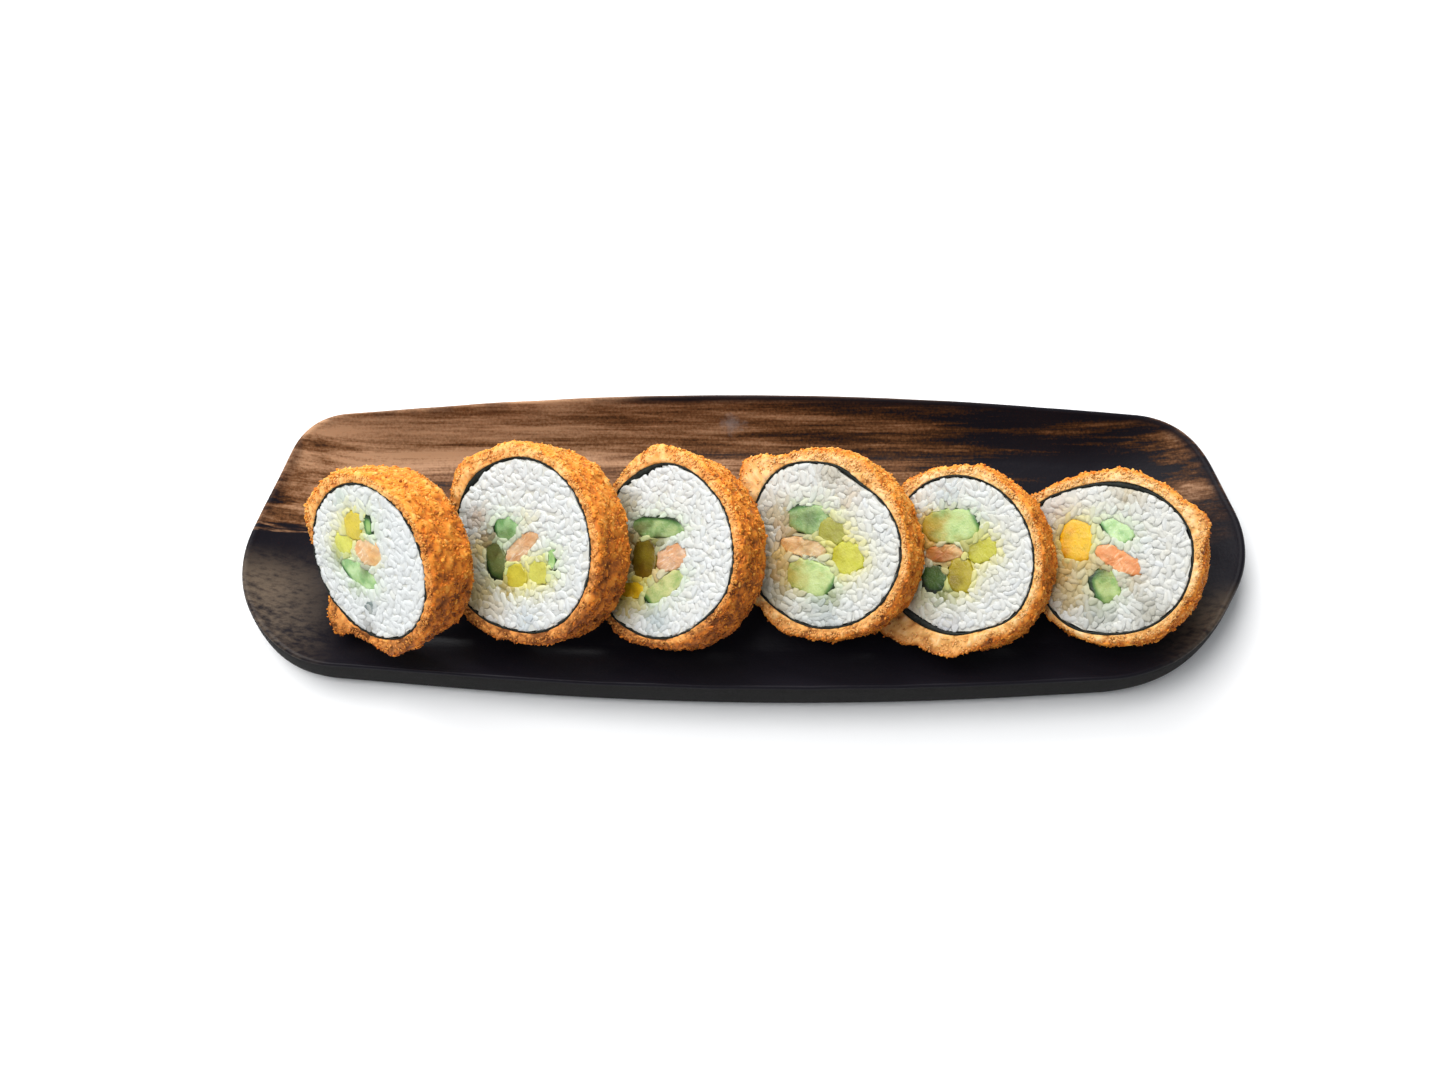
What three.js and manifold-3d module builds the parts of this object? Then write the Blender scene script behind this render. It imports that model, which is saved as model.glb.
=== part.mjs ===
// A long shallow glazed plate with six slices of crisp-fried roll that lean on each other along it.
// Millimetres, +Z up, +X along the plate to the right, the viewer's side is -Y. The foot stands on z = 0.
import * as THREE from 'three';
import { mergeVertices } from 'three/addons/utils/BufferGeometryUtils.js';
import Module from 'manifold-3d';

const wasm = await Module();
wasm.setup();

// Plate heights and bands
const rimHeight = 17;
const endDip = 3; // how much lower the rim is at both ends
const floorHeight = 6;
const floorShare = { x: 0.82, y: 0.66 }; // the flat floor, as a share of the outline
const lipShare = { x: 0.985, y: 0.962 }; // the lip's inner edge
const slopePower = 1.6; // the inner slope starts flat and steepens to the lip
const slopeSteps = [0.86, 0.68, 0.48, 0.26, 0];
const wallHeight = 5; // where the outer wall is widest
const footShare = { x: 0.94, y: 0.955 };

// Outline of the plate's rim: corners from the right end anticlockwise, each with its rounding length
const corners = [
  { x: 141, y: -2.3, round: 13 },
  { x: 124.7, y: 36.2, round: 15 },
  { x: 0, y: 45.4, round: 73 },
  { x: -120.4, y: 36.9, round: 11 },
  { x: -140, y: -10.8, round: 17 },
  { x: -122.5, y: -34.6, round: 12.5 },
  { x: 0, y: -45.2, round: 76 },
  { x: 121, y: -38.4, round: 24 },
];
const cornerSteps = 8;

// Measures that all slices share
const crustThick = 3.4;
const crustRows = [1, 0.62, 0.22, -0.2, -0.6, -1]; // places along the slice, the front edge first
const flakeShares = [1, 0.7, 0.3, 0, 0, 0]; // how much of a flake is left at each of them
const crustEdge = { outer: 0.55, inner: 0.1, rough: 0.25 }; // how far the cut edges lie back
const cragDepth = 0.75;
const noriThick = 0.7;
const gap = 0.3; // left between pieces that touch
const ringSteps = 40;
const riceSteps = 20;
const riceShares = [0.46, 0.78]; // radii of the bumpy rings on a cut face
const riceEdge = { outer: 0.5, inner: 0.25 }; // how far the rice lies back at its rim and inside
const grainBump = 0.45;
const fillingSteps = 10;
const blockPower = { takuan: 5, cucumber: 3.6, salmon: 2.6 }; // 2 is round, larger is squarer
const easedEdge = 0.4;

// The slices from left to right. at: middle. lean: tilt of the axis to the left. turn: heading of that tilt.
// oval and skew: how squashed, and which way. roll: what looks level on the cut face, seen from above.
// bulges: where the whole section is pushed out. core: where only the seaweed and rice are.
// taper: how much smaller the crust is at the back. torn: where the crust's front edge is missing.
// fold: where the seaweed is doubled. flakes: lumps and hollows of the crust's front edge.
// fillings: middle, size and angle on the cut face, seen from the front. Earlier ones press into later ones.
const slices = [
  {
    number: 1, at: [-93.3, -8.8, 30.1], lean: 49, turn: 36, radius: 25.4, oval: 0.9, skew: 0, thick: 16.5,
    roll: -37, seed: 3, taper: 2.0,
    bulges: [{ angle: -133, out: 0.4, spread: 20 }],
    core: [],
    torn: { angle: -172, depth: 4.5, spread: 20 },
    fold: { angle: -112, extra: 0.5, spread: 16 },
    flakes: [
      { angle: -138, out: 7, spread: 9 }, { angle: 145, out: 2.4, spread: 9 },
      { angle: -86, out: 2.2, spread: 10 }, { angle: 110, out: 1, spread: 18 },
    ],
    fillings: {
      takuan_a: { at: [-3.6, 9.7], size: [6.8, 7.6], angle: -14 },
      takuan_b: { at: [-8.6, 4.9], size: [6.4, 5.4], angle: -6 },
      cucumber_a: { at: [2.5, 9.4], size: [3.4, 5.8], angle: -6 },
      cucumber_b: { at: [-4.9, -3.2], size: [14.4, 5.8], angle: -30 },
      salmon: { at: [0.4, 2.3], size: [10.8, 7.2], angle: -14 },
    },
  },
  {
    number: 2, at: [-54.5, -5.1, 28.2], lean: 37, turn: 32, radius: 27, oval: 0.91, skew: -15, thick: 16,
    roll: -37, seed: 8, taper: 1.0,
    bulges: [{ angle: -127, out: 3.6, spread: 26 }],
    core: [{ angle: 150, out: 1, spread: 16 }],
    torn: { angle: -150, depth: 1.2, spread: 16 },
    fold: { angle: 146, extra: 1.8, spread: 7 },
    flakes: [
      { angle: -100, out: 1, spread: 10 }, { angle: 150, out: 4.2, spread: 18 },
      { angle: 108, out: 1.4, spread: 18 },
    ],
    fillings: {
      takuan_a: { at: [-2.1, -8.2], size: [6.8, 6.6], angle: 4 },
      takuan_b: { at: [5.0, -7.0], size: [6.4, 6.2], angle: 0 },
      cucumber_a: { at: [-5.3, 4.3], size: [8.2, 6.2], angle: 0 },
      cucumber_b: { at: [-8.8, -4.5], size: [6.6, 10.8], angle: 6 },
      cucumber_c: { at: [9.6, -3.9], size: [2.8, 6.4], angle: 6 },
      salmon: { at: [-0.2, -0.4], size: [13.2, 5.4], angle: 36 },
    },
  },
  {
    number: 3, at: [-17.2, -6.4, 25.5], lean: 32, turn: 17, radius: 26.9, oval: 0.85, skew: -9, thick: 15,
    roll: -24, seed: 14, taper: 1.0,
    bulges: [{ angle: -134, out: 3, spread: 26 }],
    core: [
      { angle: -100, out: 1.3, spread: 28 }, { angle: -142, out: 1.7, spread: 20 },
      { angle: -14, out: 1.3, spread: 20 }, { angle: 60, out: -1.5, spread: 30 },
    ],
    torn: { angle: -148, depth: 2.4, spread: 18 },
    fold: { angle: 126, extra: 1.8, spread: 9 },
    flakes: [
      { angle: -116, out: 1.4, spread: 12 }, { angle: 110, out: 2.6, spread: 18 },
      { angle: 50, out: -1, spread: 18 },
    ],
    fillings: {
      takuan_a: { at: [-6.6, -3.0], size: [7.8, 10.4], angle: 0 },
      takuan_b: { at: [-10.0, -11.2], size: [7.6, 4.8], angle: 4 },
      cucumber_a: { at: [-3.1, 5.7], size: [17.0, 5.8], angle: -2 },
      cucumber_b: { at: [0.1, -10.4], size: [14.2, 5.4], angle: 34 },
      salmon: { at: [1.6, -2.5], size: [9.6, 7.0], angle: 18 },
    },
  },
  {
    number: 4, at: [23.2, -4.2, 24.7], lean: 29, turn: 33, radius: 26.4, oval: 0.895, skew: -11, thick: 14.5,
    roll: -37, seed: 21, taper: 0.6,
    bulges: [{ angle: -94, out: 0.6, spread: 24 }, { angle: -140, out: 1.8, spread: 22 }],
    core: [
      { angle: 64, out: -2.4, spread: 18 }, { angle: 100, out: -1.1, spread: 18 },
      { angle: 10, out: 0.9, spread: 18 }, { angle: 138, out: 1, spread: 20 },
    ],
    torn: { angle: 180, depth: 0.8, spread: 16 },
    fold: { angle: 74, extra: 1, spread: 12 },
    flakes: [
      { angle: 149, out: 7.5, spread: 14 }, { angle: 72, out: 1, spread: 10 },
      { angle: -108, out: 1.9, spread: 12 },
    ],
    fillings: {
      takuan_a: { at: [2.6, 3.3], size: [8.0, 6.2], angle: -18 },
      takuan_b: { at: [6.9, -3.7], size: [8.4, 8.8], angle: 26 },
      cucumber_a: { at: [-4.1, 6.5], size: [11.8, 8.0], angle: -6 },
      cucumber_b: { at: [-3.4, -8.9], size: [14.6, 9.0], angle: -18 },
      salmon: { at: [-5.6, -0.8], size: [14.4, 5.0], angle: -10 },
    },
  },
  {
    number: 5, at: [59.9, -7.6, 23.8], lean: 29, turn: 33, radius: 25.3, oval: 0.87, skew: -15, thick: 14,
    roll: -37, seed: 33, taper: 0.6,
    bulges: [{ angle: -133, out: 3.8, spread: 28 }],
    core: [{ angle: 128, out: 0.8, spread: 36 }, { angle: -60, out: -2.2, spread: 22 }],
    torn: { angle: 170, depth: 0.8, spread: 16 },
    fold: { angle: -116, extra: 1.4, spread: 24 },
    flakes: [
      { angle: 86, out: 2, spread: 7 }, { angle: -126, out: 6, spread: 21 },
      { angle: -89, out: 3.3, spread: 13 }, { angle: 150, out: 1.6, spread: 22 },
      { angle: -52, out: -1.3, spread: 16 },
    ],
    fillings: {
      takuan_a: { at: [5.6, 1.7], size: [8.0, 6.0], angle: 22 },
      takuan_b: { at: [-0.5, -4.9], size: [7.0, 9.2], angle: 0 },
      cucumber_a: { at: [-3.4, 8.3], size: [16.4, 9.2], angle: 2 },
      cucumber_b: { at: [-7.9, -6.0], size: [7.0, 7.8], angle: 6 },
      salmon: { at: [-5.0, 1.0], size: [11.6, 4.6], angle: 6 },
    },
  },
  {
    number: 6, at: [99.5, -7.6, 23.2], lean: 25, turn: 36, radius: 24.2, oval: 0.95, skew: 9, thick: 14.5,
    roll: -40, seed: 47, taper: 0.6,
    bulges: [{ angle: 141, out: 2.8, spread: 26 }, { angle: -137, out: 1.4, spread: 28 }],
    core: [
      { angle: 150, out: 2.4, spread: 26 }, { angle: -137, out: 1.5, spread: 30 },
      { angle: 12, out: 0.9, spread: 20 },
    ],
    torn: { angle: -170, depth: 0.6, spread: 16 },
    fold: { angle: 70, extra: 1.2, spread: 20 },
    flakes: [
      { angle: 15, out: 5, spread: 9 }, { angle: 78, out: 1, spread: 9 },
      { angle: 148, out: 1.7, spread: 26 }, { angle: -40, out: -1, spread: 20 },
    ],
    fillings: {
      takuan_a: { at: [-9.8, 4.3], size: [8.8, 11.4], angle: -4 },
      cucumber_a: { at: [0.9, 7.2], size: [9.6, 5.4], angle: -28 },
      cucumber_b: { at: [-2.4, -7.5], size: [7.8, 9.4], angle: 34 },
      salmon: { at: [1.2, -0.6], size: [14.6, 5.8], angle: -28 },
    },
  },
];

const looks = {
  plate: { color: 0x4a3526, roughness: 0.35 },
  crust: { color: 0xc8782f, roughness: 0.75 },
  nori: { color: 0x1c211d, roughness: 0.6 },
  rice: { color: 0xe9e8e2, roughness: 0.5 },
  cucumber: { color: 0xb9cf90, roughness: 0.35 },
  takuan: { color: 0xdcc04a, roughness: 0.35 },
  salmon: { color: 0xe0a878, roughness: 0.5 },
};

const radians = (degrees) => degrees * Math.PI / 180;

// Repeatable draws between -1 and 1
function makeDraw(seed) {
  let state = seed;
  return () => {
    state = (state * 1664525 + 1013904223) % 4294967296;
    return 2 * (state / 4294967296) - 1;
  };
}

// Skin over a stack of rings with equal point counts: closed into a loop, or with a fan on both ends.
function skinRings(rings, joined) {
  const count = rings[0].length;
  const points = rings.flat();
  const faces = [];
  const bands = joined ? rings.length : rings.length - 1;
  for (let band = 0; band < bands; band++) {
    const low = band * count;
    const high = ((band + 1) % rings.length) * count;
    for (let i = 0; i < count; i++) {
      const j = (i + 1) % count;
      if ((i + band) % 2) faces.push(low + i, low + j, high + j, low + i, high + j, high + i);
      else faces.push(low + i, low + j, high + i, low + j, high + j, high + i);
    }
  }
  if (!joined) {
    const first = points.slice(0, count);
    const last = points.slice(-count);
    const start = points.length - count;
    points.push(middleOf(first), middleOf(last));
    for (let i = 0; i < count; i++) {
      const j = (i + 1) % count;
      faces.push(j, i, points.length - 2, start + i, start + j, points.length - 1);
    }
  }
  const geometry = new THREE.BufferGeometry().setFromPoints(points);
  geometry.setIndex(faces);
  return geometry;
}

function middleOf(points) {
  const middle = new THREE.Vector3();
  points.forEach((point) => middle.addScaledVector(point, 1 / points.length));
  return middle;
}

function toSolid(geometry) {
  const bare = geometry.clone();
  bare.deleteAttribute('normal');
  bare.deleteAttribute('uv');
  const merged = mergeVertices(bare);
  return new wasm.Manifold(new wasm.Mesh({
    numProp: 3,
    vertProperties: new Float32Array(merged.attributes.position.array),
    triVerts: new Uint32Array(merged.index.array),
  }));
}

function fromSolid(solid) {
  const mesh = solid.getMesh();
  const geometry = new THREE.BufferGeometry();
  geometry.setAttribute('position', new THREE.Float32BufferAttribute(mesh.vertProperties, 3));
  geometry.setIndex(Array.from(mesh.triVerts));
  return geometry;
}

function addMesh(group, name, geometry, look) {
  geometry.computeVertexNormals();
  const mesh = new THREE.Mesh(geometry, new THREE.MeshStandardMaterial(looks[look]));
  mesh.name = name;
  group.add(mesh);
}

// Points of the rim, centred on the origin
function rimOutline() {
  const path = new THREE.Path();
  corners.forEach((corner, i) => {
    const here = new THREE.Vector2(corner.x, corner.y);
    const towards = ({ x, y }) => new THREE.Vector2(x, y).sub(here).setLength(corner.round).add(here);
    const start = towards(corners.at(i - 1));
    const end = towards(corners[(i + 1) % corners.length]);
    if (i === 0) path.moveTo(start.x, start.y);
    else path.lineTo(start.x, start.y);
    path.quadraticCurveTo(here.x, here.y, end.x, end.y);
  });
  const points = path.getPoints(cornerSteps);
  const middle = new THREE.Box2().setFromPoints(points).getCenter(new THREE.Vector2());
  return points.map((point) => point.sub(middle));
}

// Foot, outer wall, lip, then the inner slope down to the flat floor
function makePlate() {
  const rim = rimOutline();
  const halfLength = Math.max(...rim.map((point) => point.x));
  const crest = (x) => rimHeight - endDip * Math.abs(x / halfLength) ** 4;
  const ring = (shareX, shareY, height) => rim.map(({ x, y }) => (
    new THREE.Vector3(x * shareX, y * shareY, height(x))));
  const rings = [
    ring(footShare.x, footShare.y, () => 0),
    ring(0.975, 0.982, () => 1.5),
    ring(1, 1, () => wallHeight),
    ring(0.9975, 0.99, (x) => crest(x) - 1.6),
    ring(0.994, 0.983, (x) => crest(x) - 0.4),
    ring(0.988, 0.968, crest),
  ];
  for (const step of slopeSteps) {
    rings.push(ring(
      floorShare.x + (lipShare.x - floorShare.x) * step,
      floorShare.y + (lipShare.y - floorShare.y) * step,
      (x) => floorHeight + (crest(x) - gap - floorHeight) * step ** slopePower,
    ));
  }
  return skinRings(rings, false);
}

// Point on a slice's cross-section, at a turn about its axis, a radius and a place along the axis
function sectionPoint(slice, turn, radius, along, pushes = slice.bulges) {
  const uneven = 1 + 0.012 * Math.sin(2 * turn + slice.seed) + 0.009 * Math.sin(3 * turn + 2.3 * slice.seed);
  const pushed = pushAt(slice, turn, pushes) / slice.radius;
  const point = new THREE.Vector3(slice.oval * Math.cos(turn), Math.sin(turn), 0);
  point.multiplyScalar(radius * (uneven + pushed));
  point.applyAxisAngle(new THREE.Vector3(0, 0, 1), radians(slice.skew));
  return point.setZ(along);
}

// The same for the seaweed and what is inside it
function corePoint(slice, turn, radius, along) {
  return sectionPoint(slice, turn, radius, along, [...slice.bulges, ...slice.core]);
}

function pushAt(slice, turn, pushes) {
  return pushes.reduce((sum, push) => sum + push.out * nearness(slice, turn, push), 0);
}

// 1 in the middle of a lump, fold or bulge of a slice, falling to 0 on both sides of it
function nearness(slice, turn, { angle, spread }) {
  const away = THREE.MathUtils.euclideanModulo(turn * 180 / Math.PI - angle - slice.roll + 180, 360) - 180;
  return Math.exp(-((away / spread) ** 2));
}

const turns = (count) => Array.from({ length: count }, (_, i) => 2 * Math.PI * i / count);
const noriOuter = (slice) => slice.radius - crustThick;
const noriInner = (slice, turn) => (
  noriOuter(slice) - noriThick - slice.fold.extra * nearness(slice, turn, slice.fold));

// Fried crust round the seaweed: crags outside, flakes at the front edge, uneven cut edges
function makeCrust(slice) {
  const draw = makeDraw(slice.seed);
  const half = slice.thick / 2;
  const around = turns(ringSteps);
  const cut = around.map(() => crustEdge.rough * draw());
  const missing = (turn, row) => slice.torn.depth * nearness(slice, turn, slice.torn) * ((1 + row) / 2) ** 2;
  const innerRing = (side) => around.map((turn, i) => {
    const along = side * (half - crustEdge.inner + 0.6 * cut[i]) - missing(turn, side);
    return corePoint(slice, turn, noriOuter(slice) + gap, along);
  });
  const outerRings = crustRows.map((row, k) => around.map((turn, i) => {
    const atCut = Math.abs(row) === 1;
    const crag = cragDepth * draw() * (atCut ? 0.6 : 1);
    const flake = flakeShares[k] * pushAt(slice, turn, slice.flakes);
    const narrowing = slice.taper * ((1 - row) / 2) ** 2;
    const along = atCut ? row * (half - crustEdge.outer + cut[i]) : row * half + cragDepth / 2 * draw();
    const radius = slice.radius - cragDepth / 2 + crag + flake - narrowing;
    return sectionPoint(slice, turn, radius, along - missing(turn, row));
  }));
  return skinRings([innerRing(-1), ...outerRings.reverse(), innerRing(1)], true);
}

// Sheet of seaweed between crust and rice, doubled at its fold
function makeNori(slice) {
  const flat = (radius) => turns(ringSteps).map((turn) => {
    const { x, y } = corePoint(slice, turn, radius(turn), 0);
    return new THREE.Vector2(x, y);
  });
  const shape = new THREE.Shape(flat(() => noriOuter(slice)));
  shape.holes.push(new THREE.Path(flat((turn) => noriInner(slice, turn))));
  const geometry = new THREE.ExtrudeGeometry(shape, { depth: slice.thick, bevelEnabled: false });
  return geometry.translate(0, 0, -slice.thick / 2);
}

// Section of a filling: a rounded, slightly uneven block, widened by grow
function fillingShape(slice, name, grow) {
  const filling = slice.fillings[name];
  const power = blockPower[name.split('_')[0]];
  const middle = new THREE.Vector2(...filling.at);
  const draw = makeDraw(slice.seed * 7 + Math.round(31 * middle.length()));
  const points = turns(fillingSteps).map((turn) => {
    const angle = turn + Math.PI / fillingSteps;
    const c = Math.cos(angle);
    const s = Math.sin(angle);
    const block = (Math.abs(c) ** power + Math.abs(s) ** power) ** (-1 / power);
    const uneven = 0.97 + 0.03 * draw();
    const x = block * c * (filling.size[0] / 2 * uneven + grow);
    const y = block * s * (filling.size[1] / 2 * uneven + grow);
    const point = new THREE.Vector2(x, y).rotateAround(new THREE.Vector2(), radians(filling.angle));
    return point.add(middle).rotateAround(new THREE.Vector2(), radians(slice.roll));
  });
  return new THREE.Shape(points);
}

// Straight bar right through the slice and out of both faces, for cutting
function fillingBar(slice, name, grow) {
  const shape = fillingShape(slice, name, grow);
  const geometry = new THREE.ExtrudeGeometry(shape, { depth: 2 * slice.thick, bevelEnabled: false });
  return toSolid(geometry.translate(0, 0, -slice.thick));
}

function largestOf(solid) {
  return solid.decompose().sort((a, b) => b.volume() - a.volume())[0];
}

// A filling runs right through its slice, ends about level with the rice and gives way to the earlier ones
function makeFilling(slice, name, earlier) {
  const draw = makeDraw(slice.seed + Math.round(53 * Math.abs(slice.fillings[name].at[1])));
  const front = slice.thick / 2 + 0.15 + 0.3 * draw();
  const back = slice.thick / 2 + 0.1 + 0.25 * draw();
  const geometry = new THREE.ExtrudeGeometry(fillingShape(slice, name, 0), {
    depth: front + back - 2 * easedEdge,
    bevelThickness: easedEdge,
    bevelSize: easedEdge,
    bevelOffset: -easedEdge,
    bevelSegments: 1,
  });
  const whole = toSolid(geometry.translate(0, 0, easedEdge - back));
  const pressed = earlier.reduce((solid, other) => solid.subtract(fillingBar(slice, other, gap)), whole);
  return fromSolid(largestOf(pressed));
}

// Rice fills the seaweed ring round the fillings, with bumps the size of grains on both cut faces
function makeRice(slice) {
  const draw = makeDraw(slice.seed * 13 + 5);
  const half = slice.thick / 2;
  const beside = [-1, 0, 1].map((side) => side * Math.PI / riceSteps);
  const edge = (turn) => Math.min(...beside.map((step) => noriInner(slice, turn + step))) - 1.5 * gap;
  const outerRing = (side) => turns(riceSteps).map((turn) => (
    corePoint(slice, turn, edge(turn), side * (half - riceEdge.outer))));
  const bumpyRing = (side, share) => turns(riceSteps).map((turn) => {
    const along = side * (half - riceEdge.inner + grainBump * draw());
    return corePoint(slice, turn + 0.1 * draw(), edge(turn) * share, along);
  });
  const [near, far] = riceShares;
  const body = toSolid(skinRings([
    bumpyRing(-1, near), bumpyRing(-1, far), outerRing(-1),
    outerRing(1), bumpyRing(1, far), bumpyRing(1, near),
  ], false));
  const bars = Object.keys(slice.fillings).map((name) => fillingBar(slice, name, gap));
  return fromSolid(largestOf(bars.reduce((solid, bar) => solid.subtract(bar), body)));
}

function makeSlice(slice) {
  const group = new THREE.Group();
  group.position.set(...slice.at);
  group.rotation.set(0, -radians(slice.lean), radians(slice.turn), 'ZYX');
  addMesh(group, `crust_${slice.number}`, makeCrust(slice), 'crust');
  addMesh(group, `nori_${slice.number}`, makeNori(slice), 'nori');
  addMesh(group, `rice_${slice.number}`, makeRice(slice), 'rice');
  Object.keys(slice.fillings).forEach((name, i, names) => {
    const [look] = name.split('_');
    addMesh(group, `${name}_${slice.number}`, makeFilling(slice, name, names.slice(0, i)), look);
  });
  return group;
}

const object = new THREE.Group();
addMesh(object, 'plate', makePlate(), 'plate');
slices.forEach((slice) => object.add(makeSlice(slice)));

export default object;
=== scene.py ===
import math

import bmesh
import bpy
import numpy as np
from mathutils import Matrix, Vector, noise


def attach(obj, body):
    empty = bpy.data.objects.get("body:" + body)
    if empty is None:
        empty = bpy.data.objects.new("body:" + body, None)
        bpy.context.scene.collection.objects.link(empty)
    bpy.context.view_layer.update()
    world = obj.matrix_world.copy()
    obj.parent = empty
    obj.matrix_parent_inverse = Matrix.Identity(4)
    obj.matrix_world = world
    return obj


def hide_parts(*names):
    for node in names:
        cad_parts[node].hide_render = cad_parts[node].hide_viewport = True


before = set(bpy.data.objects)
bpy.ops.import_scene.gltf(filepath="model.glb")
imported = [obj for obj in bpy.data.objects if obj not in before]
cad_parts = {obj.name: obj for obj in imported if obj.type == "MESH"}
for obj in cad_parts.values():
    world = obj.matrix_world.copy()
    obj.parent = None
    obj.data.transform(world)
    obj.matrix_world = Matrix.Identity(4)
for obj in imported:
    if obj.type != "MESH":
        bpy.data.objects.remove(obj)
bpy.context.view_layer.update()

mm = 0.001
sliceNumbers = (1, 2, 3, 4, 5, 6)


# Mesh helpers: points are in millimetres, faces are arrays of equal-sided faces
def addMesh(name, points, faceGroups, materials, faceMaterials=None, values=None, smooth=True):
    corners = np.concatenate([group.ravel() for group in faceGroups])
    sizes = np.concatenate([np.full(len(group), group.shape[1]) for group in faceGroups])
    mesh = bpy.data.meshes.new(name)
    mesh.vertices.add(len(points))
    mesh.vertices.foreach_set("co", (np.asarray(points, np.float32) * mm).ravel())
    mesh.loops.add(len(corners))
    mesh.loops.foreach_set("vertex_index", corners.astype(np.int32))
    mesh.polygons.add(len(sizes))
    starts = np.concatenate([[0], np.cumsum(sizes)[:-1]])
    mesh.polygons.foreach_set("loop_start", starts.astype(np.int32))
    mesh.polygons.foreach_set("use_smooth", np.full(len(sizes), smooth))
    for material in materials:
        mesh.materials.append(material)
    if faceMaterials is not None:
        mesh.polygons.foreach_set("material_index", np.asarray(faceMaterials, np.int32))
    mesh.update(calc_edges=True)
    mesh.validate()
    for key, data in (values or {}).items():
        data = np.asarray(data, np.float32)
        kind = "FLOAT" if data.ndim == 1 else "FLOAT_VECTOR"
        layer = mesh.attributes.new(key, kind, "POINT")
        layer.data.foreach_set("value" if data.ndim == 1 else "vector", data.ravel())
    piece = bpy.data.objects.new(name, mesh)
    bpy.context.scene.collection.objects.link(piece)
    return piece


def ringFaces(rows, count, joined):
    # quads between neighbouring rings of one point stack
    low = np.arange(rows if joined else rows - 1)[:, None] * count
    high = (low + count) % (rows * count)
    here = np.arange(count)[None, :]
    after = (here + 1) % count
    return np.stack([low + here, low + after, high + after, high + here], -1).reshape(-1, 4)


def skinRings(rings, joined=False):
    # rings (rows, count, 3); open stacks get a fan at both ends
    rows, count, _ = rings.shape
    points = rings.reshape(-1, 3)
    faces = [ringFaces(rows, count, joined)]
    if not joined:
        here = np.arange(count)
        after = (here + 1) % count
        first, last = len(points), len(points) + 1
        points = np.vstack([points, rings[0].mean(0), rings[-1].mean(0)])
        top = (rows - 1) * count
        faces.append(np.stack([after, here, np.full(count, first)], -1))
        faces.append(np.stack([top + here, top + after, np.full(count, last)], -1))
    return points, faces


def roughness(points, size, octaves=3):
    # fractal noise about 0, its lumps as wide as the size
    spots = np.asarray(points) / size
    return np.array([noise.fractal(Vector(spot), 1.0, 2.0, octaves) for spot in spots])


def cells(points, size):
    # 0 in the middle of a lump, larger towards its border
    spots = np.asarray(points) / size
    return np.array([noise.voronoi(Vector(spot))[0][0] for spot in spots])


def closedCurve(angles, values, count=720, sigma=3.0):
    # smooth periodic curve through samples, as values at even angles
    order = np.argsort(angles)
    even = np.arange(count) * 2 * np.pi / count
    curve = np.interp(even, angles[order], values[order], period=2 * np.pi)
    waves = np.fft.rfftfreq(count, 1 / count)
    soften = np.exp(-0.5 * (waves * math.radians(sigma)) ** 2)
    return np.fft.irfft(np.fft.rfft(curve) * soften, count)


def readCurve(curve, angles):
    count = len(curve)
    return np.interp(angles, np.arange(count) * 2 * np.pi / count, curve, period=2 * np.pi)


# Where each slice lies, read from its CAD nodes
def nodePoints(name):
    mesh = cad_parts[name].data
    points = np.empty(len(mesh.vertices) * 3, np.float32)
    mesh.vertices.foreach_get("co", points)
    return np.unique(np.round(points.reshape(-1, 3) / mm, 2), axis=0)


def polar(flat):
    return np.arctan2(flat[:, 1], flat[:, 0]) % (2 * np.pi), np.hypot(flat[:, 0], flat[:, 1])


def readSlice(number):
    ring = nodePoints(f"nori_{number}")
    middle = ring.mean(0)
    outward = np.linalg.eigh(np.cov((ring - middle).T))[1][:, 0]
    outward = outward * np.sign(outward[2])  # out of the front cut face
    across = np.array([outward[1], -outward[0], 0]) / np.hypot(outward[0], outward[1])
    across = across * np.sign(across[1])
    upSlope = np.cross(across, outward)
    axes = np.stack([upSlope, across, outward])
    flat = (ring - middle) @ axes.T
    half = np.abs(flat[:, 2]).max()
    front = flat[flat[:, 2] > 0]
    angles, radii = polar(front)
    order = np.argsort(angles)
    pairs = radii[order][: len(order) // 2 * 2].reshape(-1, 2)
    pairAngles = angles[order][: len(order) // 2 * 2].reshape(-1, 2).mean(1)
    data = {
        "number": number, "middle": middle, "axes": axes, "half": half,
        "noriOuter": closedCurve(pairAngles, pairs.max(1)),
        "noriInner": closedCurve(pairAngles, pairs.min(1)),
    }
    data["torn"], data["crustRows"] = readCrust(data)
    names = [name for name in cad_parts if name.endswith(f"_{number}")]
    sticks = [name for name in names if not name.startswith(("nori", "rice", "crust"))]
    data["fillings"] = {name: readFilling(data, name) for name in sticks}
    return data


def readCrust(data):
    # how far the front edge is torn back, and the outer radius in six rows along the slice's axis
    half = data["half"]
    flat = toSlice(data, nodePoints(f"crust_{data['number']}"))
    angles, radii = polar(flat)
    fromSheet = radii - readCurve(data["noriOuter"], angles)
    edge = (fromSheet < 0.6) & (flat[:, 2] > 0)
    torn = np.clip(half - 0.2 - closedCurve(angles[edge], flat[edge, 2]), 0, half)
    missing = np.maximum(readCurve(torn, angles), 0.05)
    # a row's place is row * half - missing * ((1 + row) / 2) ** 2, solved here for the row
    inside = np.clip(half ** 2 - missing * (half + flat[:, 2]), 0, None)
    row = 2 * (half - np.sqrt(inside)) / missing - 1
    limits = (1.6, 0.8, 0.42, 0.0, -0.42, -0.8, -1.6)
    rows = []
    for high, low in zip(limits[:-1], limits[1:]):
        chosen = (fromSheet > 0.8) & (row <= high) & (row > low)
        rows.append(closedCurve(angles[chosen], radii[chosen], sigma=2.2))
    return torn, rows


def tornBack(data, angles, row):
    return readCurve(data["torn"], angles) * ((1 + row) / 2) ** 2


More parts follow.
